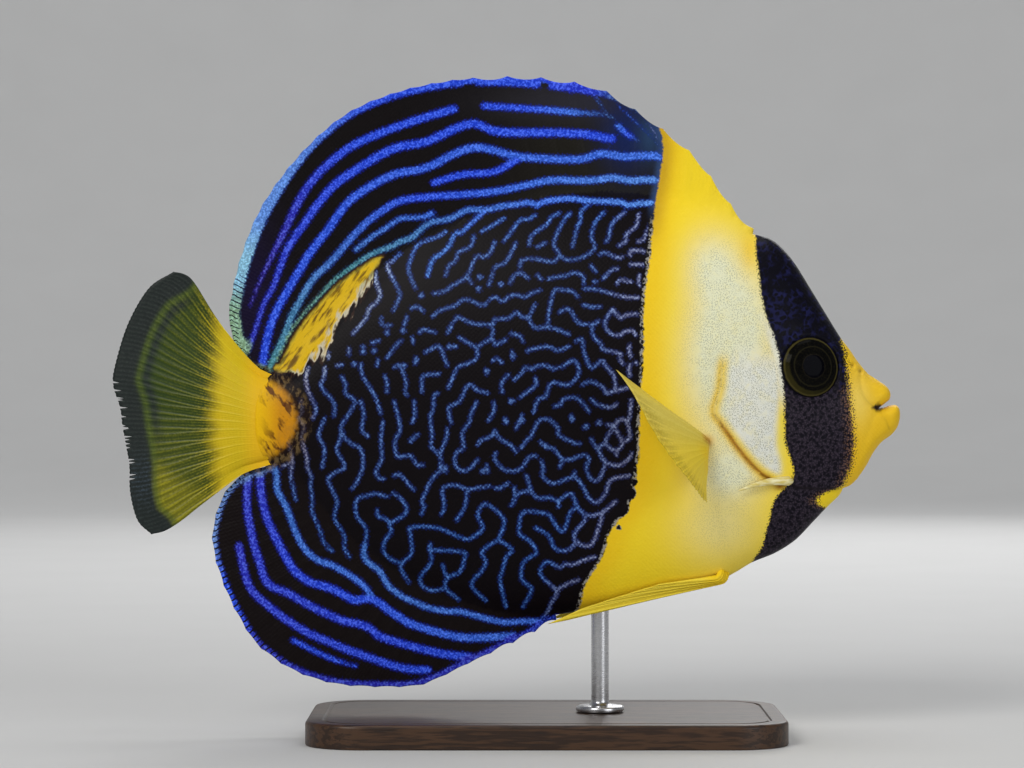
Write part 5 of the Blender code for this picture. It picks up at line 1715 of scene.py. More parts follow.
@dataclass
class Skin:
    """One skin over body, head, jaws, gill covers and the middle fins.

    Attributes:
        form: The body's breadth.
        relief: The head's relief.
        markings: Its markings.
        pattern: The labyrinth of the left side.
        finish: Its material.
        flank: How far apart its points lie on the flank and the fins.
        band: How far apart on the plain band.
        head: How far apart on the head.
        seed: The seed of the left side's labyrinth, which the photograph doesn't show.
        rings: How far rings of places lie inside the silhouette.
        rounding: How far the rounding of the body's rim reaches.
        ray_columns: Columns of places from spine to spine and from ray to ray.
        ray_row: How far apart places lie along a ray.
        rim_gap: How far places keep from the rim's rings.
        mark_gap: How far they keep from the rows of the head's relief.
        overlap: How far in front of the band's edge the flank's places reach.
        head_x: Where the head's places start.
        edge_reach: How near a fin's margin the rim counts as its edge.
    """

    form: BodyForm
    relief: HeadRelief
    markings: Markings
    pattern: ScribblePattern
    finish: SkinFinish
    flank: float = 0.64
    band: float = 1.0
    head: float = 0.72
    seed: int = 12
    rings: tuple[float, ...] = (0.05, 0.17, 0.36, 0.62)
    rounding: float = 0.7
    ray_columns: tuple[int, int] = (9, 6)
    ray_row: float = 0.85
    rim_gap: float = 0.42
    mark_gap: float = 0.34
    overlap: float = 2.5
    head_x: float = 50.0
    edge_reach: float = 2.4

    def outline(self) -> Array:
        """The skin's silhouette, anticlockwise from the front of the dorsal fin.

        Returns:
            Its places, one a row.
        """
        def margin(fin: FinPatch) -> Array:
            """A fin's notched margin."""
            u = np.linspace(0, 1, 6 * (fin.spines + fin.rays) + 1)
            return fin.at(u, fin.reach(u))

        step = 0.65
        front = smooth_path((DORSAL_MARGIN[0], NAPE), step)
        parts = [
            margin(DORSAL), smooth_path(TAIL_ARC, step), margin(ANAL)[::-1],
            smooth_path((ANAL_MARGIN[0], BELLY[-1]), step), smooth_path(BELLY, step)[::-1],
            smooth_path(CHIN, step)[::-1], smooth_path(LOWER_LIP, 0.45)[::-1],
            smooth_path(UPPER_LIP, 0.45)[::-1], smooth_path(FOREHEAD, step)[::-1], front[::-1],
        ]
        line = np.vstack([part[:-1] for part in parts])
        gaps = np.hypot(*(line - np.roll(line, 1, axis=0)).T)
        return line[gaps > 0.05]

    def fin_places(self, fin: FinPatch) -> tuple[Array, Array, Array]:
        """Places over a fin, in columns along its rays.

        Args:
            fin: The fin.

        Returns:
            The places, and their shares along the fin and of the way out.
        """
        places, along, out = [], [], []
        stretches = [(0.0, fin.spiny, fin.spines, self.ray_columns[0]),
                     (fin.spiny, 1.0, fin.rays, self.ray_columns[1])]
        for start, end, count, columns in stretches:
            for u in np.linspace(start, end, count * columns, endpoint=False):
                one = np.array([u])
                rows = int(fin.length(one)[0] / self.ray_row)
                if rows < 2:
                    continue
                v = (np.arange(rows) + 0.5 * (len(along) % 2)) / rows * fin.reach(one)[0]
                v = v[v < 1 - 1.3 / fin.length(one)[0]]
                places.append(fin.at(np.full(len(v), u), v))
                along.append(np.full(len(v), u))
                out.append(v)
        return np.vstack(places), np.concatenate(along), np.concatenate(out)

    def lattice(self, outline: Array) -> Array:
        """Places over the body, as close as each part needs them.

        Args:
            outline: The silhouette.

        Returns:
            The places, one a row.
        """
        found = []
        front = joined((FOREHEAD, UPPER_LIP, LOWER_LIP, CHIN, BELLY), 0.8)
        body = np.vstack([DORSAL.base, smooth_path(TAIL_ARC, 1.0), ANAL.base[::-1], front[::-1]])
        for spacing, chosen in (
            (self.flank, lambda x, z: x < through(BAND_EDGE, z) + self.overlap),
            (self.band, lambda x, z: (x >= through(BAND_EDGE, z) + self.overlap)
             & (x < self.head_x)),
            (self.head, lambda x, z: x >= self.head_x),
        ):
            xs = np.arange(-64.0, 99.0, spacing)
            zs = np.arange(29.0, 137.0, spacing * math.sqrt(3) / 2)
            x, z = np.meshgrid(xs, zs)
            x = x + (np.arange(len(zs)) % 2)[:, None] * spacing / 2
            keep = chosen(x, z)
            found.append(np.column_stack([x[keep], z[keep]]))
        places = np.vstack(found)
        return places[inside(places, body) & inside(places, outline)]

    def feature_rows(self) -> Array:
        """Rows of places along the edges of the head's relief.

        Returns:
            The places, one a row.
        """
        rows = []
        for line, offsets in ((GILL_TRACE.points, (-0.5, -0.08, 0.08, 0.5)),
                              (CHEEK_TRACE.points, (-0.4, -0.06, 0.06)),
                              (smooth_path(MOUTH_CREASE, 0.5), (-0.4, 0, 0.4)),
                              (smooth_path(LIP_CREASE, 0.5)[2:], (-0.35, 0, 0.35))):
            normal = leftward(np.gradient(line, axis=0))
            rows += [line + normal * offset for offset in offsets]
        for at in NOSTRILS:
            for radius in (0.0, 0.35, 0.7, 1.05, 1.4):
                rows.append(circle(at, radius, 1 + int(radius * 16)))
        rows += [circle(EYE, radius, 88) for radius in (6.4, 6.8, 7.2, 7.6, 7.95, 8.3, 8.7, 9.2)]
        return np.vstack(rows)

    def sheet(self) -> dict[str, Array]:
        """Fills the silhouette with triangles.

        Returns:
            The places, the triangles, and for each place its region, its shares along and out of
            its fin, and how near the rim it lies.
        """
        outline = self.outline()
        count = len(outline)
        inward = leftward(np.roll(outline, -1, axis=0) - np.roll(outline, 1, axis=0))
        groups = [(outline, np.zeros(count))]
        closed = Trace(np.vstack([outline, outline[:1]]))
        for ring in self.rings:
            places = outline + inward * ring
            keep = inside(places, outline) & (closed.distance(places) > ring * 0.9)
            groups.append((places[keep], np.full(keep.sum(), ring)))
        tree = tree_of(np.vstack([places for places, _ in groups]))
        features = self.feature_rows()
        features = features[inside(features, outline)]
        features = features[away_from(tree, features) > 0.3]
        groups.append((features, np.full(len(features), INNER)))
        marks = tree_of(features)
        shares = [np.zeros((sum(len(p) for p, _ in groups), 2))]
        regions = [np.zeros(len(shares[0]))]
        for kind, fin in ((Region.BODY, None), *MIDDLE_FINS):
            if fin:
                places, u, v = self.fin_places(fin)
            else:
                places = self.lattice(outline)
                u = v = np.zeros(len(places))
            keep = away_from(tree, places) > self.rim_gap
            keep &= (away_from(marks, places) > self.mark_gap) & inside(places, outline)
            groups.append((places[keep], np.full(keep.sum(), INNER)))
            shares.append(np.column_stack([u[keep], v[keep]]))
            regions.append(np.full(keep.sum(), kind.value))
        places = np.vstack([p for p, _ in groups])
        near = np.concatenate([d for _, d in groups])
        share, region = np.vstack(shares), np.concatenate(regions).astype(int)
        self.assign_fins(places, share, region, near)
        edge = [list(range(count))]
        result = geometry.delaunay_2d_cdt([Vector(p) for p in places], [], edge, 1, 1e-7)
        order = np.array([first[0] for first in result[3]])
        faces = np.array(result[2])
        flat = places[order]
        a, b, c = (flat[faces[:, k]] for k in range(3))
        turn = (b[:, 0] - a[:, 0]) * (c[:, 1] - a[:, 1]) - (b[:, 1] - a[:, 1]) * (c[:, 0] - a[:, 0])
        faces = np.where(turn[:, None] > 0, faces, faces[:, ::-1])
        return {"places": flat, "faces": faces, "region": region[order], "share": share[order],
                "near": near[order]}

    def assign_fins(self, places: Array, share: Array, region: Array, near: Array) -> None:
        """Gives the rim's places their region and shares of the fin that they edge.

        Args:
            places: Places of the mid-plane.
            share: Their shares, filled in here.
            region: Their regions, filled in here.
            near: How near the rim each lies.
        """
        u = np.linspace(0, 1, 1601)
        for kind, fin in MIDDLE_FINS:
            tree = tree_of(on_line(fin.margin, u))
            for index in np.nonzero(near <= self.rings[-1])[0]:
                _, found, away = tree.find((*places[index], 0.0))
                if away < self.edge_reach:
                    base, tip = on_line(fin.base, u[[found]]), on_line(fin.margin, u[[found]])
                    span = (tip - base)[0]
                    reach = float(np.dot(places[index] - base[0], span) / max(span @ span, 0.01))
                    if reach > 0.2:
                        region[index] = kind.value
                        share[index] = (u[found], min(reach, 1.0))

    def thickness(self, sheet: dict[str, Array]) -> tuple[Array, Array]:
        """Half the thickness and the sway at each place of the sheet.

        Args:
            sheet: The filled silhouette.

        Returns:
            Both at each place.
        """
        places, region, share = sheet["places"], sheet["region"], sheet["share"]
        half = self.relief.shape(places, self.form.half(places[:, 0], places[:, 1]))
        sway = np.zeros(len(places))
        for kind, fin in MIDDLE_FINS:
            chosen = region == kind.value
            u, v = share[chosen].T
            half[chosen] = fin.half(u, v)
            sway[chosen] = fin.sway(u, v)
        half = self.eased(sheet, half)
        flat_rim = np.where(region == Region.BODY.value, self.rounding, 0.3)
        near = np.clip(sheet["near"] / flat_rim, 0, 1)
        return half * np.sqrt(1 - (1 - near) ** 2), sway

    def eased(self, sheet: dict[str, Array], half: Array) -> Array:
        """Smooths the foot of each fin, where it rises out of the back and the belly.

        Args:
            sheet: The filled silhouette.
            half: Half the thickness at each place.

        Returns:
            The same, smoothed.
        """
        faces, places = sheet["faces"], sheet["places"]
        ends = np.vstack([faces[:, [0, 1]], faces[:, [1, 2]], faces[:, [2, 0]]])
        ends = np.vstack([ends, ends[:, ::-1]])
        count = np.bincount(ends[:, 0], minlength=len(places))
        away = np.minimum(Trace(DORSAL.base[::2]).distance(places),
                          Trace(ANAL.base[::2]).distance(places))
        amount = rise(away, 4.5, 1.0) * (sheet["near"] > 0.5)
        for _ in range(12):
            mean = np.bincount(ends[:, 0], half[ends[:, 1]], minlength=len(places)) / count
            half = half + amount * (mean - half) * 0.7
        return half

    def build(self) -> bpy.types.Object:
        """Builds the skin with its markings and bake map.

        Returns:
            The skin's object.
        """
        sheet = self.sheet()
        places, faces = sheet["places"], sheet["faces"]
        half, sway = self.thickness(sheet)
        rim = sheet["near"] == 0
        count = len(places)
        left = np.arange(count)
        left[~rim] = count + np.arange((~rim).sum())
        points = np.column_stack([places[:, 0], sway - half, places[:, 1]])
        mirror = np.column_stack([places[:, 0], sway + half, places[:, 1]])[~rim]
        all_faces = np.vstack([faces, left[faces][:, ::-1]])
        piece = mesh_object("skin", np.vstack([points, mirror]), all_faces)
        self.paint(piece.data, sheet, rim)
        self.unwrap(piece.data, places, left[faces][:, ::-1], faces, rim)
        return piece

    def paint(self, mesh: bpy.types.Mesh, sheet: dict[str, Array], rim: Array) -> None:
        """Stores the markings on the mesh, those of the right side first.

        Args:
            mesh: The mesh.
            sheet: The filled silhouette.
            rim: Which places lie on the rim.
        """
        places, region, share = sheet["places"], sheet["region"], sheet["share"]
        x, z = places.T
        stripes, colour = self.markings.stripes(places, region)
        warm, specks = self.markings.warm(places)
        phase = np.zeros(len(places))
        for kind, fin in MIDDLE_FINS:
            chosen = region == kind.value
            phase[chosen] = fin.phase(share[chosen, 0])
        comb = np.where(region == Region.DORSAL.value, rise(z, 120, 108), rise(x, -52, -60))
        values = self.markings.zones(places) | {
            "line_deep": colour * (0.2, 0.25, 0.55),
            "line_colour": colour * 0.8,
            # The painted glint: the lines' colour brightened, for light glinting off single scales
            "line_glint": np.clip(colour * 1.3 + (0.06, 0.1, 0.14), 0, 1),
            "ground": self.markings.ground(places, region),
            "warm": warm,
            "specks": specks,
            "height": z,
            "dusk": through(MASK_FRONT, z) - x + 9 * rise(z, 86, 93),
            "phase": phase,
            "fin": rise(share[:, 1], 0.15, 0.6),
            "comb": comb * rise(share[:, 1], 0.86, 0.93) * (region != Region.BODY.value),
            # Painted shade in the head's folds, nostrils and mouth gap
            "groove": self.markings.groove(places),
        }
        for name, value in values.items():
            painted(mesh, name, np.concatenate([value, value[~rim]]))
        edge = -self.markings.gap
        gap = 3 * rise(self.markings.band_side(x, z), edge - 0.7, edge + 0.2)
        grown = self.pattern.read(self.pattern.grow(self.seed), places)
        right, left = (np.clip(np.maximum(stripes, scribbles - gap), -1.5, 1.5)
                       for scribbles in (DrawnScribbles().read(places), grown))
        painted(mesh, "lines", np.concatenate([right, left[~rim]]))

    def unwrap(self, mesh: bpy.types.Mesh, places: Array, left_faces: Array, right_faces: Array,
               rim: Array) -> None:
        """Lays the two sides out one above the other, with the steep rims spread outwards.

        Args:
            mesh: The mesh.
            places: Places of the mid-plane.
            left_faces: The left side's faces.
            right_faces: The right side's faces.
            rim: Which places lie on the rim.
        """
        middle = np.array([15.0, 84.0])
        half = self.form.half(places[:, 0], places[:, 1])
        outward = places - middle
        reach = np.hypot(*outward.T)
        spread = outward * (1 + 0.8 * (14.6 - half) / np.maximum(reach, 12.0))[:, None]
        low, high = spread.min(0), spread.max(0)
        size = max(high[0] - low[0], 2 * (high[1] - low[1])) * 1.04
        right = (spread - low) / size + 0.01
        left = right + np.array([0, 0.5])
        index = np.concatenate([np.arange(len(places)), np.nonzero(~rim)[0]])
        corners = np.concatenate([right[right_faces.ravel()], left[index[left_faces.ravel()]]])
        unwrapped(mesh, corners)


def grid_faces(columns: int, rows: int) -> Array:
    """The quads of a sheet of columns, each a run of rows.

    Args:
        columns: How many columns there are.
        rows: How many places each has.

    Returns:
        The quads, one a row.
    """
    i, j = np.meshgrid(np.arange(columns - 1), np.arange(rows - 1), indexing="ij")
    a = (i * rows + j).ravel()
    return np.column_stack([a, a + rows, a + rows + 1, a + 1])


def shell(name: str, near: Array, far: Array) -> bpy.types.Object:
    """Makes a closed thin piece from two sheets of columns of places.

    Args:
        name: The piece's name.
        near: Its one sheet, by column, row and axis.
        far: The other sheet.

    Returns:
        The piece, its faces pointing outwards.
    """
    columns, rows = near.shape[:2]
    count = columns * rows
    one = grid_faces(columns, rows)
    rim = np.concatenate([
        np.arange(columns) * rows,
        (columns - 1) * rows + np.arange(1, rows),
        np.arange(columns - 2, -1, -1) * rows + rows - 1,
        np.arange(rows - 2, 0, -1),
    ])
    after = np.roll(rim, -1)
    wall = np.column_stack([rim, rim + count, after + count, after])
    points = np.vstack([near.reshape(-1, 3), far.reshape(-1, 3)])
    faces = np.vstack([one, one[:, ::-1] + count, wall])
    a, b, c = (points[one[:, k]] for k in range(3))
    volume = np.einsum("ij,ij->i", np.cross(b - a, c - a), points[one[:, 0]]
                       - points[one[:, 0] + count]).sum()
    if volume < 0:
        faces = faces[:, ::-1]
    return mesh_object(name, points, faces)


def sheet_map(piece: bpy.types.Object, columns: int, rows: int) -> None:
    """Gives a thin piece its bake map: one sheet below the other, and the wall on their seam.

    Args:
        piece: The piece.
        columns: How many columns there are.
        rows: How many places each has.
    """
    faces = np.empty(len(piece.data.loops), np.int32)
    piece.data.loops.foreach_get("vertex_index", faces)
    count = columns * rows
    on, far = faces % count, faces >= count
    share = 0.48
    u = (on // rows) / (columns - 1) * 0.96 + 0.02
    v = (on % rows) / (rows - 1) * share * 0.96 + 0.01 + far * 0.5
    unwrapped(piece.data, np.column_stack([u, v]))


def paint_sheets(mesh: bpy.types.Mesh, **values: Array) -> None:
    """Stores numbers and colours by name, the same for both sheets of a thin piece."""
    for name, value in values.items():
        painted(mesh, name, np.concatenate([value, value]))


@dataclass(frozen=True)
class FinFinish:
    """A thin fin: rays with membrane between them.

    Attributes:
        name: The material's name.
        opaque: How far the membrane hides what lies behind it.
        fine: How strongly its fine ribs show.
        rays: How strongly its rays stand out in colour.
        depth: How deep its relief is.
        roughness: Of its surface.
    """

    name: str
    opaque: float
    fine: float = 0.3
    rays: float = 0.6
    depth: float = 0.1
    roughness: float = 0.45

    def material(self) -> bpy.types.Material:
        """Builds the fin's material from the colours stored on its mesh.

        Returns:
            The material.
        """
        g = Graph.new(self.name)
        fine = g.wave(g.number("phase"), 2 * math.pi * 4)
        grain = g.noise(0.5, 2.0)
        joints = g.wave(g.number("out"), 2 * math.pi * 42)
        level = g.sum((fine, self.fine), (grain, 0.9), (g.number("ray"), self.rays))
        streak = g.step(level, 0.3, 1.15)
        colour = g.mix(streak, g.colour("dark"), g.colour("light"))
        height = g.sum((fine, self.fine), (joints, 0.1), (grain, 0.3))
        alpha = g.step(g.sum(g.number("solid"), (streak, 0.3)), 1.0 - 2 * self.opaque, 1.0)
        g.surface(Base_Color=colour, Roughness=self.roughness, Normal=g.bump(height, self.depth),
                  Alpha=alpha, Coat_Weight=0.08, Coat_Roughness=0.3, Specular_IOR_Level=0.2)
        return g.material


@dataclass
class TailFin:
    """The fan of the tail.

    Attributes:
        form: The body that it sits on.
        finish: Its material.
        rays: How many rays it has, each of which forks twice.
        per_ray: Columns of places for each ray.
        rows: Rows of places.
        tuck: How far its root reaches under the skin.
        tip: Half its thickness at the margin.
        ray_rise: How far its rays stand out.
        lean: How far it leans out of the mid-plane.
        torn: The share of the torn part's columns that are slit.
        tear: How far a slit reaches in, as a share.
    """

    form: BodyForm
    finish: FinFinish
    rays: int = TAIL_RAYS
    per_ray: int = 18
    rows: int = 64
    tuck: float = 3.0
    tip: float = 0.2
    ray_rise: float = 0.14
    lean: float = 1.8
    torn: float = 0.14
    tear: float = 0.05

    def at(self, u: Array, v: Array) -> Array:
        """Places between the tail's four edges.

        Args:
            u: Shares along the fin.
            v: Shares of the way out.

        Returns:
            The places, one a row.
        """
        top, low = smooth_path(TAIL_TOP_EDGE, 0.6), smooth_path(TAIL_LOW_EDGE, 0.6)
        base = np.array([TAIL_TOP_EDGE[0], TAIL_LOW_EDGE[0]])
        margin = smooth_path(TAIL_MARGIN, 0.6)
        u, v = u[:, None], v[:, None]
        corners = ((1 - u) * (1 - v) * base[0] + u * (1 - v) * base[1]
                   + (1 - u) * v * margin[0] + u * v * margin[-1])
        return ((1 - u) * on_line(top, v[:, 0]) + u * on_line(low, v[:, 0])
                + (1 - v) * on_line(base, u[:, 0]) + v * on_line(margin, u[:, 0]) - corners)

    def build(self) -> bpy.types.Object:
        """Builds the fan with its rays raised on both faces.

        Returns:
            The fan's object.
        """
        columns = (self.rays - 1) * self.per_ray + 1
        random = np.random.default_rng(8)
        across = np.linspace(0, 1, columns)
        torn = (random.random(columns) > 1 - self.torn) & (across > 0.44) & (across < 0.8)
        u = np.repeat(across, self.rows)
        phase = u * (self.rays - 1)
        fray = 0.5 + 0.5 * np.cos(2 * np.pi * phase * 4)
        slits = np.repeat(torn * (0.3 + 0.7 * random.random(columns)), self.rows)
        v = np.tile(np.linspace(0, 1, self.rows) ** 0.95, columns)
        reach = 1 - (0.003 * (1 - fray) + self.tear * slits)
        v = v * reach
        flat = self.at(u, v)
        root = self.form.half(np.full(len(u), TAIL_X), self.at(u, np.zeros(len(u)))[:, 1])
        half = self.tip + (root - 0.25) * (1 - v) ** 1.5
        off = np.abs(phase - np.round(phase))
        first, second = 0.22 * rise(v, 0.25, 0.7), 0.1 * rise(v, 0.6, 1.0)
        ridge = np.maximum(np.exp(-(((off - first - second) / 0.07) ** 2)),
                           np.exp(-(((off - first + second) / 0.07) ** 2)))
        half = half + self.ray_rise * ridge * rise(v, 0.95, 0.7) * np.minimum(1, 3 * v)
        half = half * np.sqrt(np.clip((1.003 - v / reach) / 0.02, 0.05, 1))
        sway = self.lean * v * v * np.sin(np.pi * (1.2 * u + 0.2))
        tucked = np.tile(np.arange(self.rows) < 2, columns)
        shift = np.where(tucked, self.tuck * (1 - np.tile(np.arange(self.rows), columns) / 2), 0)
        x, z = flat[:, 0] + shift, flat[:, 1] + (TAIL_LEVEL - flat[:, 1]) * shift * 0.03
        shape = (columns, self.rows, 3)
        near = np.column_stack([x, sway - half, z]).reshape(shape)
        far = np.column_stack([x, sway + half, z]).reshape(shape)
        piece = shell("tail_fan", near, far)
        self.paint(piece.data, flat, phase, v, ridge)
        sheet_map(piece, columns, self.rows)
        return piece

    def paint(self, mesh: bpy.types.Mesh, flat: Array, phase: Array, v: Array,
              ridge: Array) -> None:
        """Stores the tail's colours: orange and yellow root, olive fan, blue-grey hem.

        Args:
            mesh: The mesh.
            flat: The places of its points in the mid-plane.
            phase: How many rays lie before each point.
            v: Shares of the way out.
            ridge: How fully each point lies on a ray.
        """
        x, z = flat.T
        margin = nearest(smooth_path(TAIL_MARGIN, 0.4), flat)
        low = rise(z, 86, 64)
        edges = 0.8 * rise(np.minimum((z - 57) + 0.6 * (x + 76), 9), 7, 1) * (z < TAIL_LEVEL)
        inner = rise(x + 0.6 * np.sin(phase * 2.4) - 0.06 * np.abs(z - TAIL_LEVEL), -76.0, -70.5)
        shade = np.exp(-(((margin - 8.4) / 1.3) ** 2)) * rise(x, -76, -82) * rise(z, 70, 82)
        hem = rise(margin, 6.7, 5.2) * rise(x, -72, -79)
        arc = np.exp(-(((margin - 6.5) / 0.75) ** 2)) * rise(x, -70, -80)
        root = rise(x, -67.5, -61)
        dark = layered(
            (0.02, 0.042, 0.0015), (low, (0.045, 0.062, 0.002)), (edges, (0.16, 0.15, 0.003)),
            (inner, (0.62, 0.44, 0.004)), (0.85 * shade, (0.004, 0.008, 0.012)),
            (hem, (0.009, 0.014, 0.013)), (0.7 * arc, (0.05, 0.075, 0.008)),
            (root, (0.8, 0.47, 0.005)),
        )
        light = layered(
            (0.045, 0.075, 0.004), (low, (0.15, 0.16, 0.008)), (edges, (0.36, 0.32, 0.01)),
            (rise(x, -79, -71), (0.86, 0.64, 0.01)), (0.3 * rise(x, -90, -80), (0.3, 0.28, 0.015)),
            (0.7 * shade, (0.014, 0.024, 0.03)), (hem, (0.03, 0.042, 0.036)),
            (0.8 * hem * mound(x, z, (-90.5, 64), (3.5, 6)), (0.08, 0.12, 0.17)),
            (0.75 * arc, (0.1, 0.14, 0.016)), (root, (0.84, 0.5, 0.006)),
        )
        solid = np.clip(1.2 - 0.3 * hem - 0.1 * rise(v, 0.3, 0.8), 0, 1)
        paint_sheets(mesh, dark=dark, light=light, phase=phase, out=v, ray=ridge * (1 - hem),
                     solid=solid)


@dataclass
class PairedFin:
    """A pectoral or pelvic fin, a fan of rays seated on the skin.

    Attributes:
        name: The piece's name.
        side: The side that it is on.
        form: The body that it sits on.
        relief: The head's relief, in which it sits.
        finish: Its material.
        roots: The two ends of its root line, in millimetres.
        rays: The direction and length of each ray.
        normal: The way in which rays leave the skin.
        thick: Half its thickness at the root.
        bend: How far from the skin the rays bend over.
        on_belly: Whether it is a pelvic fin.
        rib: How far its rays stand out.
        per_ray: Columns of places for each ray.
        rows: Rows of places.
    """

    name: str
    side: Side
    form: BodyForm
    relief: HeadRelief
    finish: FinFinish
    roots: tuple[Vector, Vector]
    rays: list[tuple[Vector, float]]
    normal: Vector
    thick: float
    bend: float
    on_belly: bool
    rib: float
    per_ray: int = 10
    rows: int = 44

    def seat(self, place: Vector) -> Vector:
        """Puts a place of the root onto the skin.

        Args:
            place: The place.

        Returns:
            The same place on the skin.
        """
        if self.on_belly:
            level = self.form.belly_level(place.x, abs(place.y))
            return Vector((place.x, place.y, level + 0.5))
        spot = np.array([[place.x, place.z]])
        half = self.relief.shape(spot, self.form.half(spot[:, 0], spot[:, 1]))[0]
        return Vector((place.x, self.side.value * (float(half) - 0.5), place.z))

    def path(self, root: Vector, direction: Vector, length: float) -> list[Vector]:
        """A ray that leaves the skin along its normal and bends over to its own direction.

        Args:
            root: Where it starts.
            direction: Its own direction.
            length: Its length.

        Returns:
            Places along it.
        """
        knee = root + self.normal * (self.bend + 0.5)
        turn = knee + direction * self.bend
        knee_rows = 7
        path = []
        for t in np.linspace(0, 1, knee_rows, endpoint=False):
            path.append(root * (1 - t) ** 2 + knee * 2 * t * (1 - t) + turn * t**2)
        for share in np.linspace(0, 1, self.rows - knee_rows):
            path.append(turn + direction * (length - self.bend) * share)
        return path

    def build(self) -> bpy.types.Object:
        """Builds the fan.

        Returns:
            The fan's object.
        """
        count = len(self.rays)
        columns = (count - 1) * self.per_ray + 1
        at = np.linspace(0, count - 1, columns)
        places = np.empty((columns, self.rows, 3))
        for k, phase in enumerate(at):
            i = min(int(phase), count - 2)
            t = phase - i
            direction = self.rays[i][0].lerp(self.rays[i + 1][0], t).normalized()
            length = self.rays[i][1] * (1 - t) + self.rays[i + 1][1] * t
            length -= 0.5 * abs(math.sin(math.pi * phase)) ** 0.8
            root = self.seat(self.roots[0].lerp(self.roots[1], phase / (count - 1)))
            places[k] = [tuple(p) for p in self.path(root, direction, length)]
        across, out = np.gradient(places, axis=0), np.gradient(places, axis=1)
        face = np.cross(across, out)
        face /= np.linalg.norm(face, axis=2, keepdims=True)
        v = np.clip((np.arange(self.rows) - 6) / (self.rows - 7), 0, 1)[None, :]
        phase = at[:, None]
        off = np.abs(phase - np.round(phase))
        fork = 0.22 * rise(v, 0.4, 1.0)
        ridge = np.exp(-(((off - fork) / 0.12) ** 2))
        half = 0.16 + (self.thick - 0.16) * (1 - v) ** 1.8 + self.rib * ridge * (1 - 0.65 * v)
        half = half * np.sqrt(np.clip((1.01 - v) / 0.03, 0.1, 1))
        side = np.minimum(phase, count - 1 - phase)
        half = half * np.sqrt(np.clip(0.15 + side / 0.35, 0, 1))
        piece = shell(self.name, places + face * half[..., None], places - face * half[..., None])
        self.paint(piece.data, np.broadcast_to(phase, half.shape).ravel(),
                   np.broadcast_to(v, half.shape).ravel(), ridge.ravel(), count - 1)
        sheet_map(piece, columns, self.rows)
        return piece

    def paint(self, mesh: bpy.types.Mesh, phase: Array, v: Array, ridge: Array,
              last: int) -> None:
        """Stores the fin's colours: golden rays, paler membrane, deeper yellow at the root.

        Args:
            mesh: The mesh.
            phase: How many rays lie before each point.
            v: Shares of the way out.
            ridge: How fully each point lies on a ray.
            last: The number of the last ray.
        """
        across, on_flank = phase / last, 0.0 if self.on_belly else 1.0
        root = rise(v, 0.3, 0.0)
        lead = 0.8 * rise(across, 0.4, 0.1) * on_flank
        spot = 0.8 * rise(v, 0.07, 0.01) * rise(across, 0.25, 0.1) * on_flank
        dark = layered((0.82, 0.6, 0.03), (root, (0.85, 0.58, 0.012)), (lead, (0.6, 0.48, 0.08)),
                       (spot, (0.45, 0.16, 0.002)))
        light = layered((0.93, 0.74, 0.06), (root, (0.92, 0.66, 0.02)), (lead, (0.72, 0.62, 0.16)))
        solid = 0.95 + 0.3 * root + 0.1 * ridge - 0.4 * rise(v, 0.55, 1) * rise(across, 0, 0.2)
        solid = np.clip(np.clip(solid, 0, 1) + 0.5 * self.on_belly, 0, 1)
        paint_sheets(mesh, dark=dark, light=light, phase=phase, out=v, ray=ridge, solid=solid)


def paired_fins(form: BodyForm, relief: HeadRelief) -> list[PairedFin]:
    """The pectoral and pelvic fins of both sides.

    Args:
        form: The body.
        relief: The head's relief.

    Returns:
        The four fins.
    """
    fins = []
    pectoral_finish = FinFinish("pectoral_membrane", 0.45, 0.06, 0.15, 0.04)
    pelvic_finish = FinFinish("pelvic_membrane", 0.9, 0.15)
    for side in Side:
        sign = side.value
        rays = []
        for t in np.linspace(0, 1, PECTORAL_RAYS):
            turn = math.radians(float(through(PECTORAL_TURN, t)))
            flare = math.radians(float(through(PECTORAL_FLARE, t)))
            direction = Vector((math.cos(turn) * math.cos(flare), sign * math.sin(flare),
                                math.sin(turn) * math.cos(flare)))
            rays.append((direction, float(through(PECTORAL_LENGTH, t))))
        roots = tuple(Vector((x, 0, z)) for x, z in PECTORAL_ROOT)
        fins.append(PairedFin(f"pectoral_{side.word}", side, form, relief, pectoral_finish, roots,
                              rays, Vector((0, sign, 0)), 0.95, 1.8, False, 0.07))
        rays = []
        for down, flare, length in PELVIC_RAYS:
            down, flare = math.radians(down), math.radians(flare)
            rays.append((Vector((-math.cos(down), sign * math.sin(flare), -math.sin(down))),
                         length))
        roots = tuple(Vector((x, sign * y, 0)) for x, y in PELVIC_ROOT)
        fins.append(PairedFin(f"pelvic_{side.word}", side, form, relief, pelvic_finish, roots, rays,
                              Vector((0, sign * 0.6, -0.8)), 0.8, 1.5, True, 0.2, 14))
    return fins


def alone() -> None:
    """Leaves nothing selected."""
    if bpy.context.object and bpy.context.object.mode != "OBJECT":
        bpy.ops.object.mode_set(mode="OBJECT")
    bpy.ops.object.select_all(action="DESELECT")


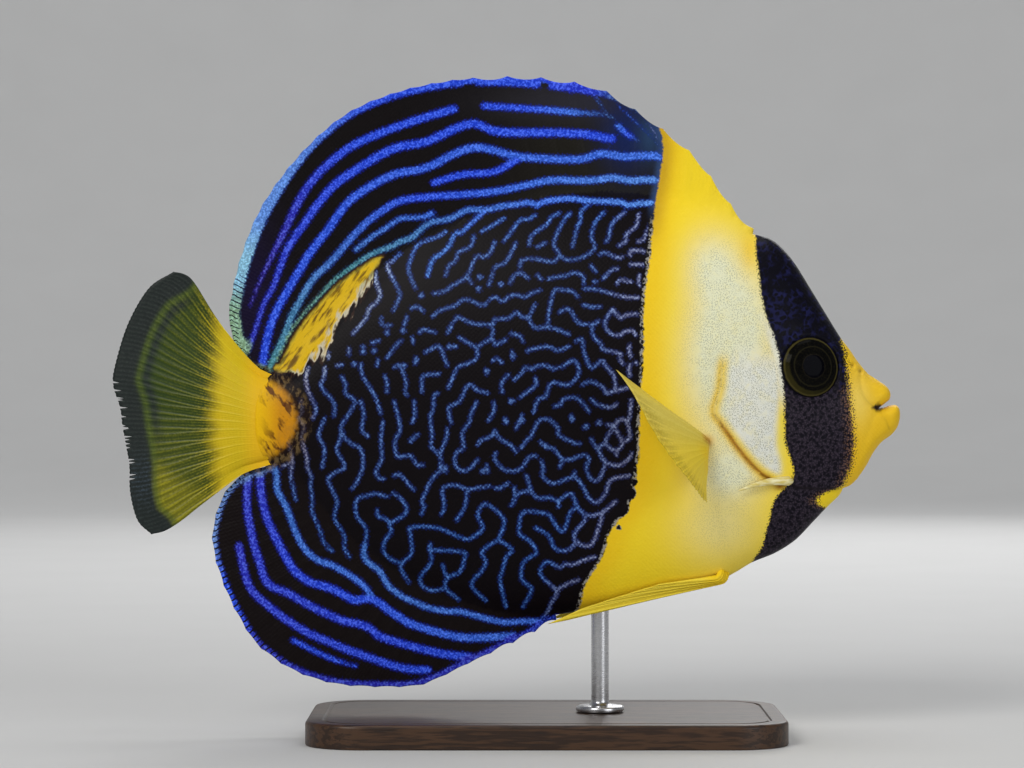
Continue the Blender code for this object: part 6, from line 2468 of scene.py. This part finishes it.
def turned(name: str, profile: Pairs, steps: int) -> bpy.types.Object:
    """Turns a profile about Z by the spin tool.

    Args:
        name: The piece's name.
        profile: (radius, height) pairs in millimetres, from one pole to the other.
        steps: How many steps the turn has.

    Returns:
        The closed piece, active and in object mode.
    """
    alone()
    mesh = bpy.data.meshes.new(name)
    points = [(radius * MM, 0, height * MM) for radius, height in profile]
    mesh.from_pydata(points, [(k, k + 1) for k in range(len(points) - 1)], [])
    piece = linked(name, mesh)
    bpy.context.view_layer.objects.active = piece
    piece.select_set(True)
    bpy.ops.object.mode_set(mode="EDIT")
    bpy.ops.mesh.select_all(action="SELECT")
    bpy.ops.mesh.spin(steps=steps, angle=2 * math.pi, center=(0, 0, 0), axis=(0, 0, 1))
    bpy.ops.mesh.select_all(action="SELECT")
    bpy.ops.mesh.remove_doubles(threshold=1e-6)
    bpy.ops.mesh.normals_make_consistent(inside=False)
    bpy.ops.object.mode_set(mode="OBJECT")
    return piece


@dataclass(frozen=True)
class EyeFinish:
    """A dark eye with thin gold rings under a wet clear surface.

    Attributes:
        rings: The radius, breadth, colour and strength of each ring.
    """

    rings: tuple[tuple[float, float, Colour, float], ...] = (
        (3.15, 0.1, (0.012, 0.01, 0.007), 0.8), (5.1, 0.14, (0.018, 0.016, 0.008), 0.7),
        (7.2, 0.17, (0.06, 0.05, 0.015), 0.9))

    def material(self) -> bpy.types.Material:
        """Builds the eye's material from the distance to its middle stored on the mesh.

        Returns:
            The material.
        """
        g = Graph.new("eye")
        radius = g.sum(g.number("radius"), (g.noise(1.1, 2.0), 0.3))
        fibres = g.noise(0.4, 2.0)
        iris = g.mix(g.step(fibres, 0.45, 0.75), (0.003, 0.003, 0.003), (0.009, 0.008, 0.005))
        colour = g.mix(g.step(radius, 3.1, 2.9), iris, (0.0015, 0.0015, 0.003))
        for middle, breadth, ring, amount in self.rings:
            away = g.math("ABSOLUTE", g.math("SUBTRACT", radius, middle))
            colour = g.mix(g.times(g.step(away, breadth * 2, breadth * 0.5), amount),
                           colour, ring)
        low = g.times(g.step(g.number("lower"), -0.1, 0.8),
                     g.times(g.step(radius, 5.9, 6.4), g.step(radius, 7.2, 6.9)))
        colour = g.mix(g.times(low, 0.8), colour, (0.035, 0.03, 0.008))
        colour = g.mix(g.step(radius, 7.45, 7.65), colour, (0.006, 0.006, 0.009))
        g.surface(Base_Color=colour, Roughness=0.5, Specular_IOR_Level=0.0, Coat_Weight=0.09,
                  Coat_Roughness=0.03, Coat_IOR=1.3)
        return g.material


@dataclass
class Eye:
    """An eye, a flattened ball set square in the skin.

    Attributes:
        side: The side that it is on.
        form: The body that it sits on.
        finish: Its material.
        rings: How many rings of faces it has from rim to middle.
    """

    side: Side
    form: BodyForm
    finish: EyeFinish
    rings: int = 40

    def build(self) -> bpy.types.Object:
        """Turns the ball, sets it in its socket and stores how far each point lies out.

        Returns:
            The eye's object.
        """
        profile = []
        for turn in np.linspace(-math.pi / 2, math.pi / 2, self.rings):
            radius = EYE_RADIUS * math.cos(turn)
            height = EYE_DEPTH * math.sin(turn)
            # A faint step where the clear front meets the rim
            height -= 0.22 * math.exp(-(((radius - 6.75) / 0.35) ** 2)) * (turn > 0)
            profile.append((max(radius, 0.0), height))
        profile[0], profile[-1] = (0.0, profile[0][1]), (0.0, profile[-1][1])
        piece = turned(f"eyeball_{self.side.word}", tuple(profile), 72)
        points = np.array([tuple(v.co) for v in piece.data.vertices]) / MM
        seat = self.form.seat(EYE, self.side, EYE_PROUD - EYE_DEPTH)
        scaled = Matrix.Diagonal((MM, MM, MM, 1)) @ seat @ Matrix.Diagonal((1 / MM,) * 3 + (1,))
        piece.data.transform(scaled)
        painted(piece.data, "radius", np.hypot(points[:, 0], points[:, 1]))
        placed = np.array([tuple(v.co) for v in piece.data.vertices]) / MM
        lower = ((placed[:, 0] - EYE[0]) * -0.6 + (placed[:, 2] - EYE[1]) * -0.8) / EYE_RADIUS
        painted(piece.data, "lower", lower)
        piece.data.shade_smooth()
        return piece


@dataclass(frozen=True)
class HornFinish:
    """The pale horny spine of the cheek."""

    def material(self) -> bpy.types.Material:
        """Builds the spine's material.

        Returns:
            The material.
        """
        g = Graph.new("cheek_spine")
        streaks = g.noise(0.5, 3.0, g.turned(g.flat(), 0, (5, 1, 1)))
        colour = g.mix(g.step(streaks, 0.35, 0.7), (0.7, 0.56, 0.14), (0.9, 0.84, 0.5))
        g.surface(Base_Color=colour, Roughness=0.35, Normal=g.bump(streaks, 0.06),
                  Coat_Weight=0.3, Coat_Roughness=0.2)
        return g.material


@dataclass
class CheekSpine:
    """The spine at the lower corner of a cheek, lying back over the gill cover.

    Attributes:
        side: The side that it is on.
        form: The body that it sits on.
        finish: Its material.
        root: Where it starts.
        tip: Where it ends.
        radius: Its radius at the root.
        steps: Rings along it.
        around: Points round each ring.
    """

    side: Side
    form: BodyForm
    finish: HornFinish
    root: tuple[float, float] = (70.9, 64.0)
    tip: tuple[float, float] = (57.3, 61.7)
    radius: float = 1.15
    steps: int = 40
    around: int = 20

    def build(self) -> bpy.types.Object:
        """Runs a tapering ring along the spine's course.

        Returns:
            The spine's object.
        """
        t = np.linspace(0, 1, self.steps)
        x = self.root[0] + (self.tip[0] - self.root[0]) * t
        z = self.root[1] + (self.tip[1] - self.root[1]) * t + 0.9 * np.sin(np.pi * t)
        radius = self.radius * (1 - t) ** 0.7 * np.minimum(1, 0.35 + 9 * t) + 0.12
        y = self.form.half(x, z) + 0.25 + 0.9 * t
        turn = np.linspace(0, 2 * np.pi, self.around, endpoint=False)
        points = np.stack([
            np.repeat(x, self.around),
            self.side.value * (y[:, None] + radius[:, None] * 0.8 * np.sin(turn)).ravel(),
            (z[:, None] + radius[:, None] * np.cos(turn)).ravel(),
        ], axis=1)
        ends = np.array([[x[0] + 0.3, self.side.value * (y[0] - 0.2), z[0]],
                         [x[-1] - 0.25, self.side.value * y[-1], z[-1]]])
        i, k = np.meshgrid(np.arange(self.steps - 1), np.arange(self.around), indexing="ij")
        a = (i * self.around + k).ravel()
        b = (i * self.around + (k + 1) % self.around).ravel()
        sides = np.vstack([np.column_stack([a, b, b + self.around]),
                           np.column_stack([a, b + self.around, a + self.around])])
        ring = np.arange(self.around)
        last = (self.steps - 1) * self.around
        first_cap = np.column_stack([ring, np.full(self.around, len(points)),
                                     (ring + 1) % self.around])
        last_cap = np.column_stack([last + ring, last + (ring + 1) % self.around,
                                    np.full(self.around, len(points) + 1)])
        faces = np.vstack([sides, first_cap, last_cap])
        if self.side is Side.LEFT:
            faces = faces[:, ::-1]
        return mesh_object(f"spine_{self.side.word}", np.vstack([points, ends]), faces)


@dataclass(frozen=True)
class WoodFinish:
    """Dark stained hardwood with a satin varnish."""

    def material(self) -> bpy.types.Material:
        """Builds the wood with its grain along the base.

        Returns:
            The material.
        """
        g = Graph.new("base_wood")
        rings = g.noise(3.2, 4.0, g.turned(g.place(), 0, (12, 1, 1)), 0.6)
        pores = g.noise(0.35, 2.0, g.turned(g.place(), 0, (16, 1, 1)))
        grain = g.wave(rings, 30.0)
        colour = g.mix(g.step(grain, -0.9, 0.9), (0.026, 0.012, 0.006), (0.062, 0.029, 0.013))
        colour = g.mix(g.step(pores, 0.6, 0.75), colour, (0.01, 0.005, 0.003))
        height = g.sum((grain, 0.1), (g.step(pores, 0.75, 0.6), 0.5))
        g.surface(Base_Color=colour, Roughness=0.45, Normal=g.bump(height, 0.05),
                  Coat_Weight=0.15, Coat_Roughness=0.25, Specular_IOR_Level=0.3)
        return g.material


@dataclass(frozen=True)
class SteelFinish:
    """Brushed stainless steel, brushed round the rod."""

    def material(self) -> bpy.types.Material:
        """Builds the steel.

        Returns:
            The material.
        """
        g = Graph.new("rod_steel")
        brushed = g.noise(0.12, 2.0, g.turned(g.place(), 0, (20, 20, 1)))
        blotch = g.noise(6.0, 2.0)
        colour = g.mix(blotch, (0.5, 0.5, 0.52), (0.62, 0.62, 0.63))
        roughness = g.sum((brushed, 0.16), 0.2)
        g.surface(Base_Color=colour, Metallic=1.0, Roughness=roughness,
                  Normal=g.bump(brushed, 0.015))
        return g.material


@dataclass
class Stand:
    """The base and rod that hold the swimming fish.

    Attributes:
        form: The body that the rod holds.
        centre_x: The middle of the base.
        size: The base's length, width and height.
        corner: The radius of its corners.
        rim: The rounding of its upper edge.
        rod_x: Where the rod stands.
        rod_radius: The rod's radius.
        sunk: How far the rod reaches into the belly.
        gap: Between the base and the rod's foot.
        line_inset: How far in from the edge the routed line runs.
        line_depth: Its depth.
    """

    form: BodyForm
    centre_x: float = 10.0
    size: tuple[float, float, float] = (118.0, 68.0, 6.0)
    corner: float = 14.0
    rim: float = 0.9
    rod_x: float = 23.5
    rod_radius: float = 2.2
    sunk: float = 3.0
    gap: float = 0.3
    line_inset: float = 4.0
    line_depth: float = 0.35

    def build_base(self) -> bpy.types.Object:
        """Shapes the base from a block: round corners, eased edges and a routed line.

        Returns:
            The base's object.
        """
        alone()
        length, width, height = (side * MM for side in self.size)
        bpy.ops.mesh.primitive_cube_add(size=1, location=(0, 0, 0))
        piece = bpy.context.object
        piece.name = piece.data.name = "base"
        bpy.ops.object.mode_set(mode="EDIT")
        bpy.ops.transform.resize(value=(length, width, height))
        bpy.ops.transform.translate(value=(self.centre_x * MM, 0, height / 2))
        level = self.size[2]
        self.bevel(piece, (0.0, level), self.corner, 14)
        self.bevel(piece, (level, level), self.rim, 4)
        self.inset(piece, level, self.line_inset - self.rim, 0.0)
        self.inset(piece, level, 0.3, -self.line_depth)
        self.inset(piece, level - self.line_depth, 0.5, 0.0)
        self.inset(piece, level - self.line_depth, 0.3, self.line_depth)
        self.bevel(piece, (0.0, 0.0), 0.4, 2)
        bpy.ops.object.mode_set(mode="OBJECT")
        bpy.ops.object.shade_smooth_by_angle(angle=math.radians(32))
        piece.modifiers.new("normals", "WEIGHTED_NORMAL").keep_sharp = True
        bpy.ops.object.modifier_apply(modifier="normals")
        return piece

    def pick(self, piece: bpy.types.Object, parts: str, wanted: object) -> None:
        """Selects some edges or faces of a piece, in edit mode.

        Args:
            piece: The piece.
            parts: Either "edges" or "polygons".
            wanted: Tells of each whether it is to be selected.
        """
        bpy.ops.object.mode_set(mode="OBJECT")
        mesh = piece.data
        for group in (mesh.vertices, mesh.edges, mesh.polygons):
            group.foreach_set("select", [False] * len(group))
        bpy.context.tool_settings.mesh_select_mode = (False, parts == "edges", parts != "edges")
        for part in getattr(mesh, parts):
            part.select = bool(wanted(part))
        bpy.ops.object.mode_set(mode="EDIT")

    def bevel(self, piece: bpy.types.Object, levels: tuple[float, float], offset: float,
              segments: int) -> None:
        """Bevels the edges that run between two levels.

        Args:
            piece: The piece.
            levels: The level of an edge's lower end and that of its upper end, in millimetres.
            offset: How far the bevel reaches.
            segments: How many faces it has across.
        """
        def wanted(edge: bpy.types.MeshEdge) -> bool:
            """Whether an edge runs between the levels."""
            ends = sorted(piece.data.vertices[k].co.z / MM for k in edge.vertices)
            return np.allclose(ends, levels, atol=0.01)

        self.pick(piece, "edges", wanted)
        bpy.ops.mesh.bevel(offset=offset * MM, segments=segments, affect="EDGES")

    def inset(self, piece: bpy.types.Object, level: float, thickness: float, depth: float) -> None:
        """Insets the largest face at a level, all in millimetres.

        Args:
            piece: The piece.
            level: The face's level.
            thickness: How far inwards its edge moves.
            depth: How far the face rises.
        """
        bpy.ops.object.mode_set(mode="OBJECT")
        found = [face for face in piece.data.polygons if abs(face.center.z / MM - level) < 0.01]
        chosen = max(found, key=lambda face: face.area).index
        self.pick(piece, "polygons", lambda face: face.index == chosen)
        bpy.ops.mesh.inset(thickness=thickness * MM, depth=depth * MM)

    def build_rod(self) -> bpy.types.Object:
        """Turns the rod with its foot.

        Returns:
            The rod's object.
        """
        low = self.size[2] + self.gap
        top = float(through(self.form.belly, self.rod_x)) + self.sunk
        profile = [(0.0, low), (5.7, low), (5.95, low + 0.08), (6.0, low + 0.3), (6.0, low + 0.9),
                   (5.9, low + 1.15), (5.6, low + 1.35), (4.4, low + 1.5), (3.2, low + 1.6)]
        for turn in np.linspace(0.15, 1, 6) * math.pi / 2:
            profile.append((3.2 - (3.2 - self.rod_radius) * math.sin(turn),
                            low + 1.6 + 1.0 * (1 - math.cos(turn))))
        for level in np.linspace(low + 3.4, top - 0.3, 12):
            profile.append((self.rod_radius, level))
        profile += [(self.rod_radius - 0.25, top - 0.05), (0.0, top)]
        piece = turned("rod", tuple(profile), 64)
        piece.data.transform(Matrix.Translation((self.rod_x * MM, 0, 0)))
        bpy.ops.object.shade_smooth_by_angle(angle=math.radians(40))
        return piece


@dataclass(frozen=True)
class PaperFinish:
    """The pale matt floor."""

    def material(self) -> bpy.types.Material:
        """Builds the floor's material.

        Returns:
            The material.
        """
        g = Graph.new("pale_floor")
        cloud = g.noise(60.0, 2.0)
        g.surface(Base_Color=g.mix(cloud, (0.57, 0.57, 0.565), (0.6, 0.6, 0.595)),
                  Roughness=0.85)
        return g.material


@dataclass
class Studio:
    """The floor that rises to a wall all round, the lights and the camera.

    Attributes:
        floor_radius: Where the floor starts to rise.
        wall_radius: Where the wall stands.
        wall_height: How high the wall is.
        eye_distance: How far before the fish the camera stands.
        eye_level: The camera's height, level with the middle of the picture.
        eye_x: How far forward the camera stands.
        lens: The camera's focal length.
        sensor: The breadth of its sensor.
    """

    floor_radius: float = 1500.0
    wall_radius: float = 2600.0
    wall_height: float = 1900.0
    eye_distance: float = 853.3
    eye_level: float = 88.0
    eye_x: float = 1.5
    lens: float = 120.0
    sensor: float = 36.0

    def build(self) -> None:
        """Sets up floor, lights, world and camera."""
        self.build_floor()
        white, warm, cool = (1.0, 1.0, 1.0), (1.0, 0.985, 0.96), (0.95, 0.975, 1.0)
        self.light("key", (-700, -1150, 950), 700, 13.0, warm)
        self.light("fill", (900, -1000, 350), 800, 4.5, cool)
        self.light("top", (100, 150, 1300), 900, 5.5, white)
        self.light("back", (300, 1200, 700), 700, 4.0, white)
        self.light("wall", (0, 500, 1500), 1200, 16.0, white, (0, 2600, 1000))
        world = bpy.data.worlds.new("studio")
        world.use_nodes = True
        background = world.node_tree.nodes["Background"]
        background.inputs["Color"].default_value = (0.9, 0.93, 1.0, 1)
        background.inputs["Strength"].default_value = 0.2
        bpy.context.scene.world = world
        bpy.context.scene.view_settings.view_transform = "Standard"
        camera = bpy.data.cameras.new("camera")
        camera.lens, camera.sensor_width, camera.sensor_fit = self.lens, self.sensor, "HORIZONTAL"
        camera.clip_start, camera.clip_end = 0.02, 20.0
        eye = linked("camera", camera)
        eye.location = (self.eye_x * MM, -self.eye_distance * MM, self.eye_level * MM)
        eye.rotation_euler = (math.pi / 2, 0, 0)
        bpy.context.scene.camera = eye

    def build_floor(self) -> None:
        """Turns the floor and its rising wall."""
        curve = self.wall_radius - self.floor_radius
        profile = [(0.0, 0.0), (400.0, 0.0), (900.0, 0.0)]
        for turn in np.linspace(0, math.pi / 2, 14):
            profile.append((self.floor_radius + curve * math.sin(turn),
                            curve * (1 - math.cos(turn))))
        profile.append((self.wall_radius, self.wall_height))
        floor = turned("floor", tuple(profile), 96)
        bpy.ops.object.mode_set(mode="EDIT")
        bpy.ops.mesh.flip_normals()
        bpy.ops.object.mode_set(mode="OBJECT")
        floor.data.shade_smooth()
        floor.data.materials.append(PaperFinish().material())

    def light(self, name: str, place: tuple[float, float, float], size: float, power: float,
              colour: Colour, aim: tuple[float, float, float] = (0, 0, 90)) -> None:
        """Hangs a soft light.

        Args:
            name: The light's name.
            place: Where it hangs, in millimetres.
            size: How broad it is.
            power: In watts.
            colour: Its colour.
            aim: What it faces, or else the fish.
        """
        lamp = bpy.data.lights.new(name, "AREA")
        lamp.shape, lamp.size = "DISK", size * MM
        lamp.energy, lamp.color = power, colour
        holder = linked(name, lamp)
        holder.location = Vector(place) * MM
        course = Vector(aim) * MM - holder.location
        holder.rotation_euler = course.to_track_quat("-Z", "Y").to_euler()


def main() -> None:
    """Builds the fish, its stand and the studio round it."""
    logging.basicConfig(level=logging.INFO, format="%(name)s: %(message)s")
    form, relief = BodyForm(), HeadRelief()
    skin = Skin(form, relief, Markings(), ScribblePattern(), SkinFinish())
    dressed(skin.build(), skin.finish.material(), "scribbled_skin",
            "head", "upper_jaw", "lower_jaw", "gill_cover_left", "gill_cover_right", "torso",
            "tail_root", "dorsal_fin_spiny", "dorsal_fin_soft", "anal_fin")
    tail = TailFin(form, FinFinish("tail_membrane", 0.9, 0.15, 0.4, 0.05))
    dressed(tail.build(), tail.finish.material(), "tail_membrane", "tail_fin")
    for fin in paired_fins(form, relief):
        kind, word = fin.name.split("_")
        dressed(fin.build(), fin.finish.material(), "fin_membrane", f"{kind}_fin_{word}")
    for side in Side:
        eye = Eye(side, form, EyeFinish())
        dressed(eye.build(), eye.finish.material(), "eye", f"eye_{side.word}")
        spine = CheekSpine(side, form, HornFinish())
        dressed(spine.build(), spine.finish.material(), "spine", f"cheek_spine_{side.word}")
    stand = Stand(form)
    dressed(stand.build_base(), WoodFinish().material(), "base_wood", "stand_base")
    dressed(stand.build_rod(), SteelFinish().material(), "rod_steel", "stand_rod")
    Studio().build()


if __name__ == "__main__":
    main()
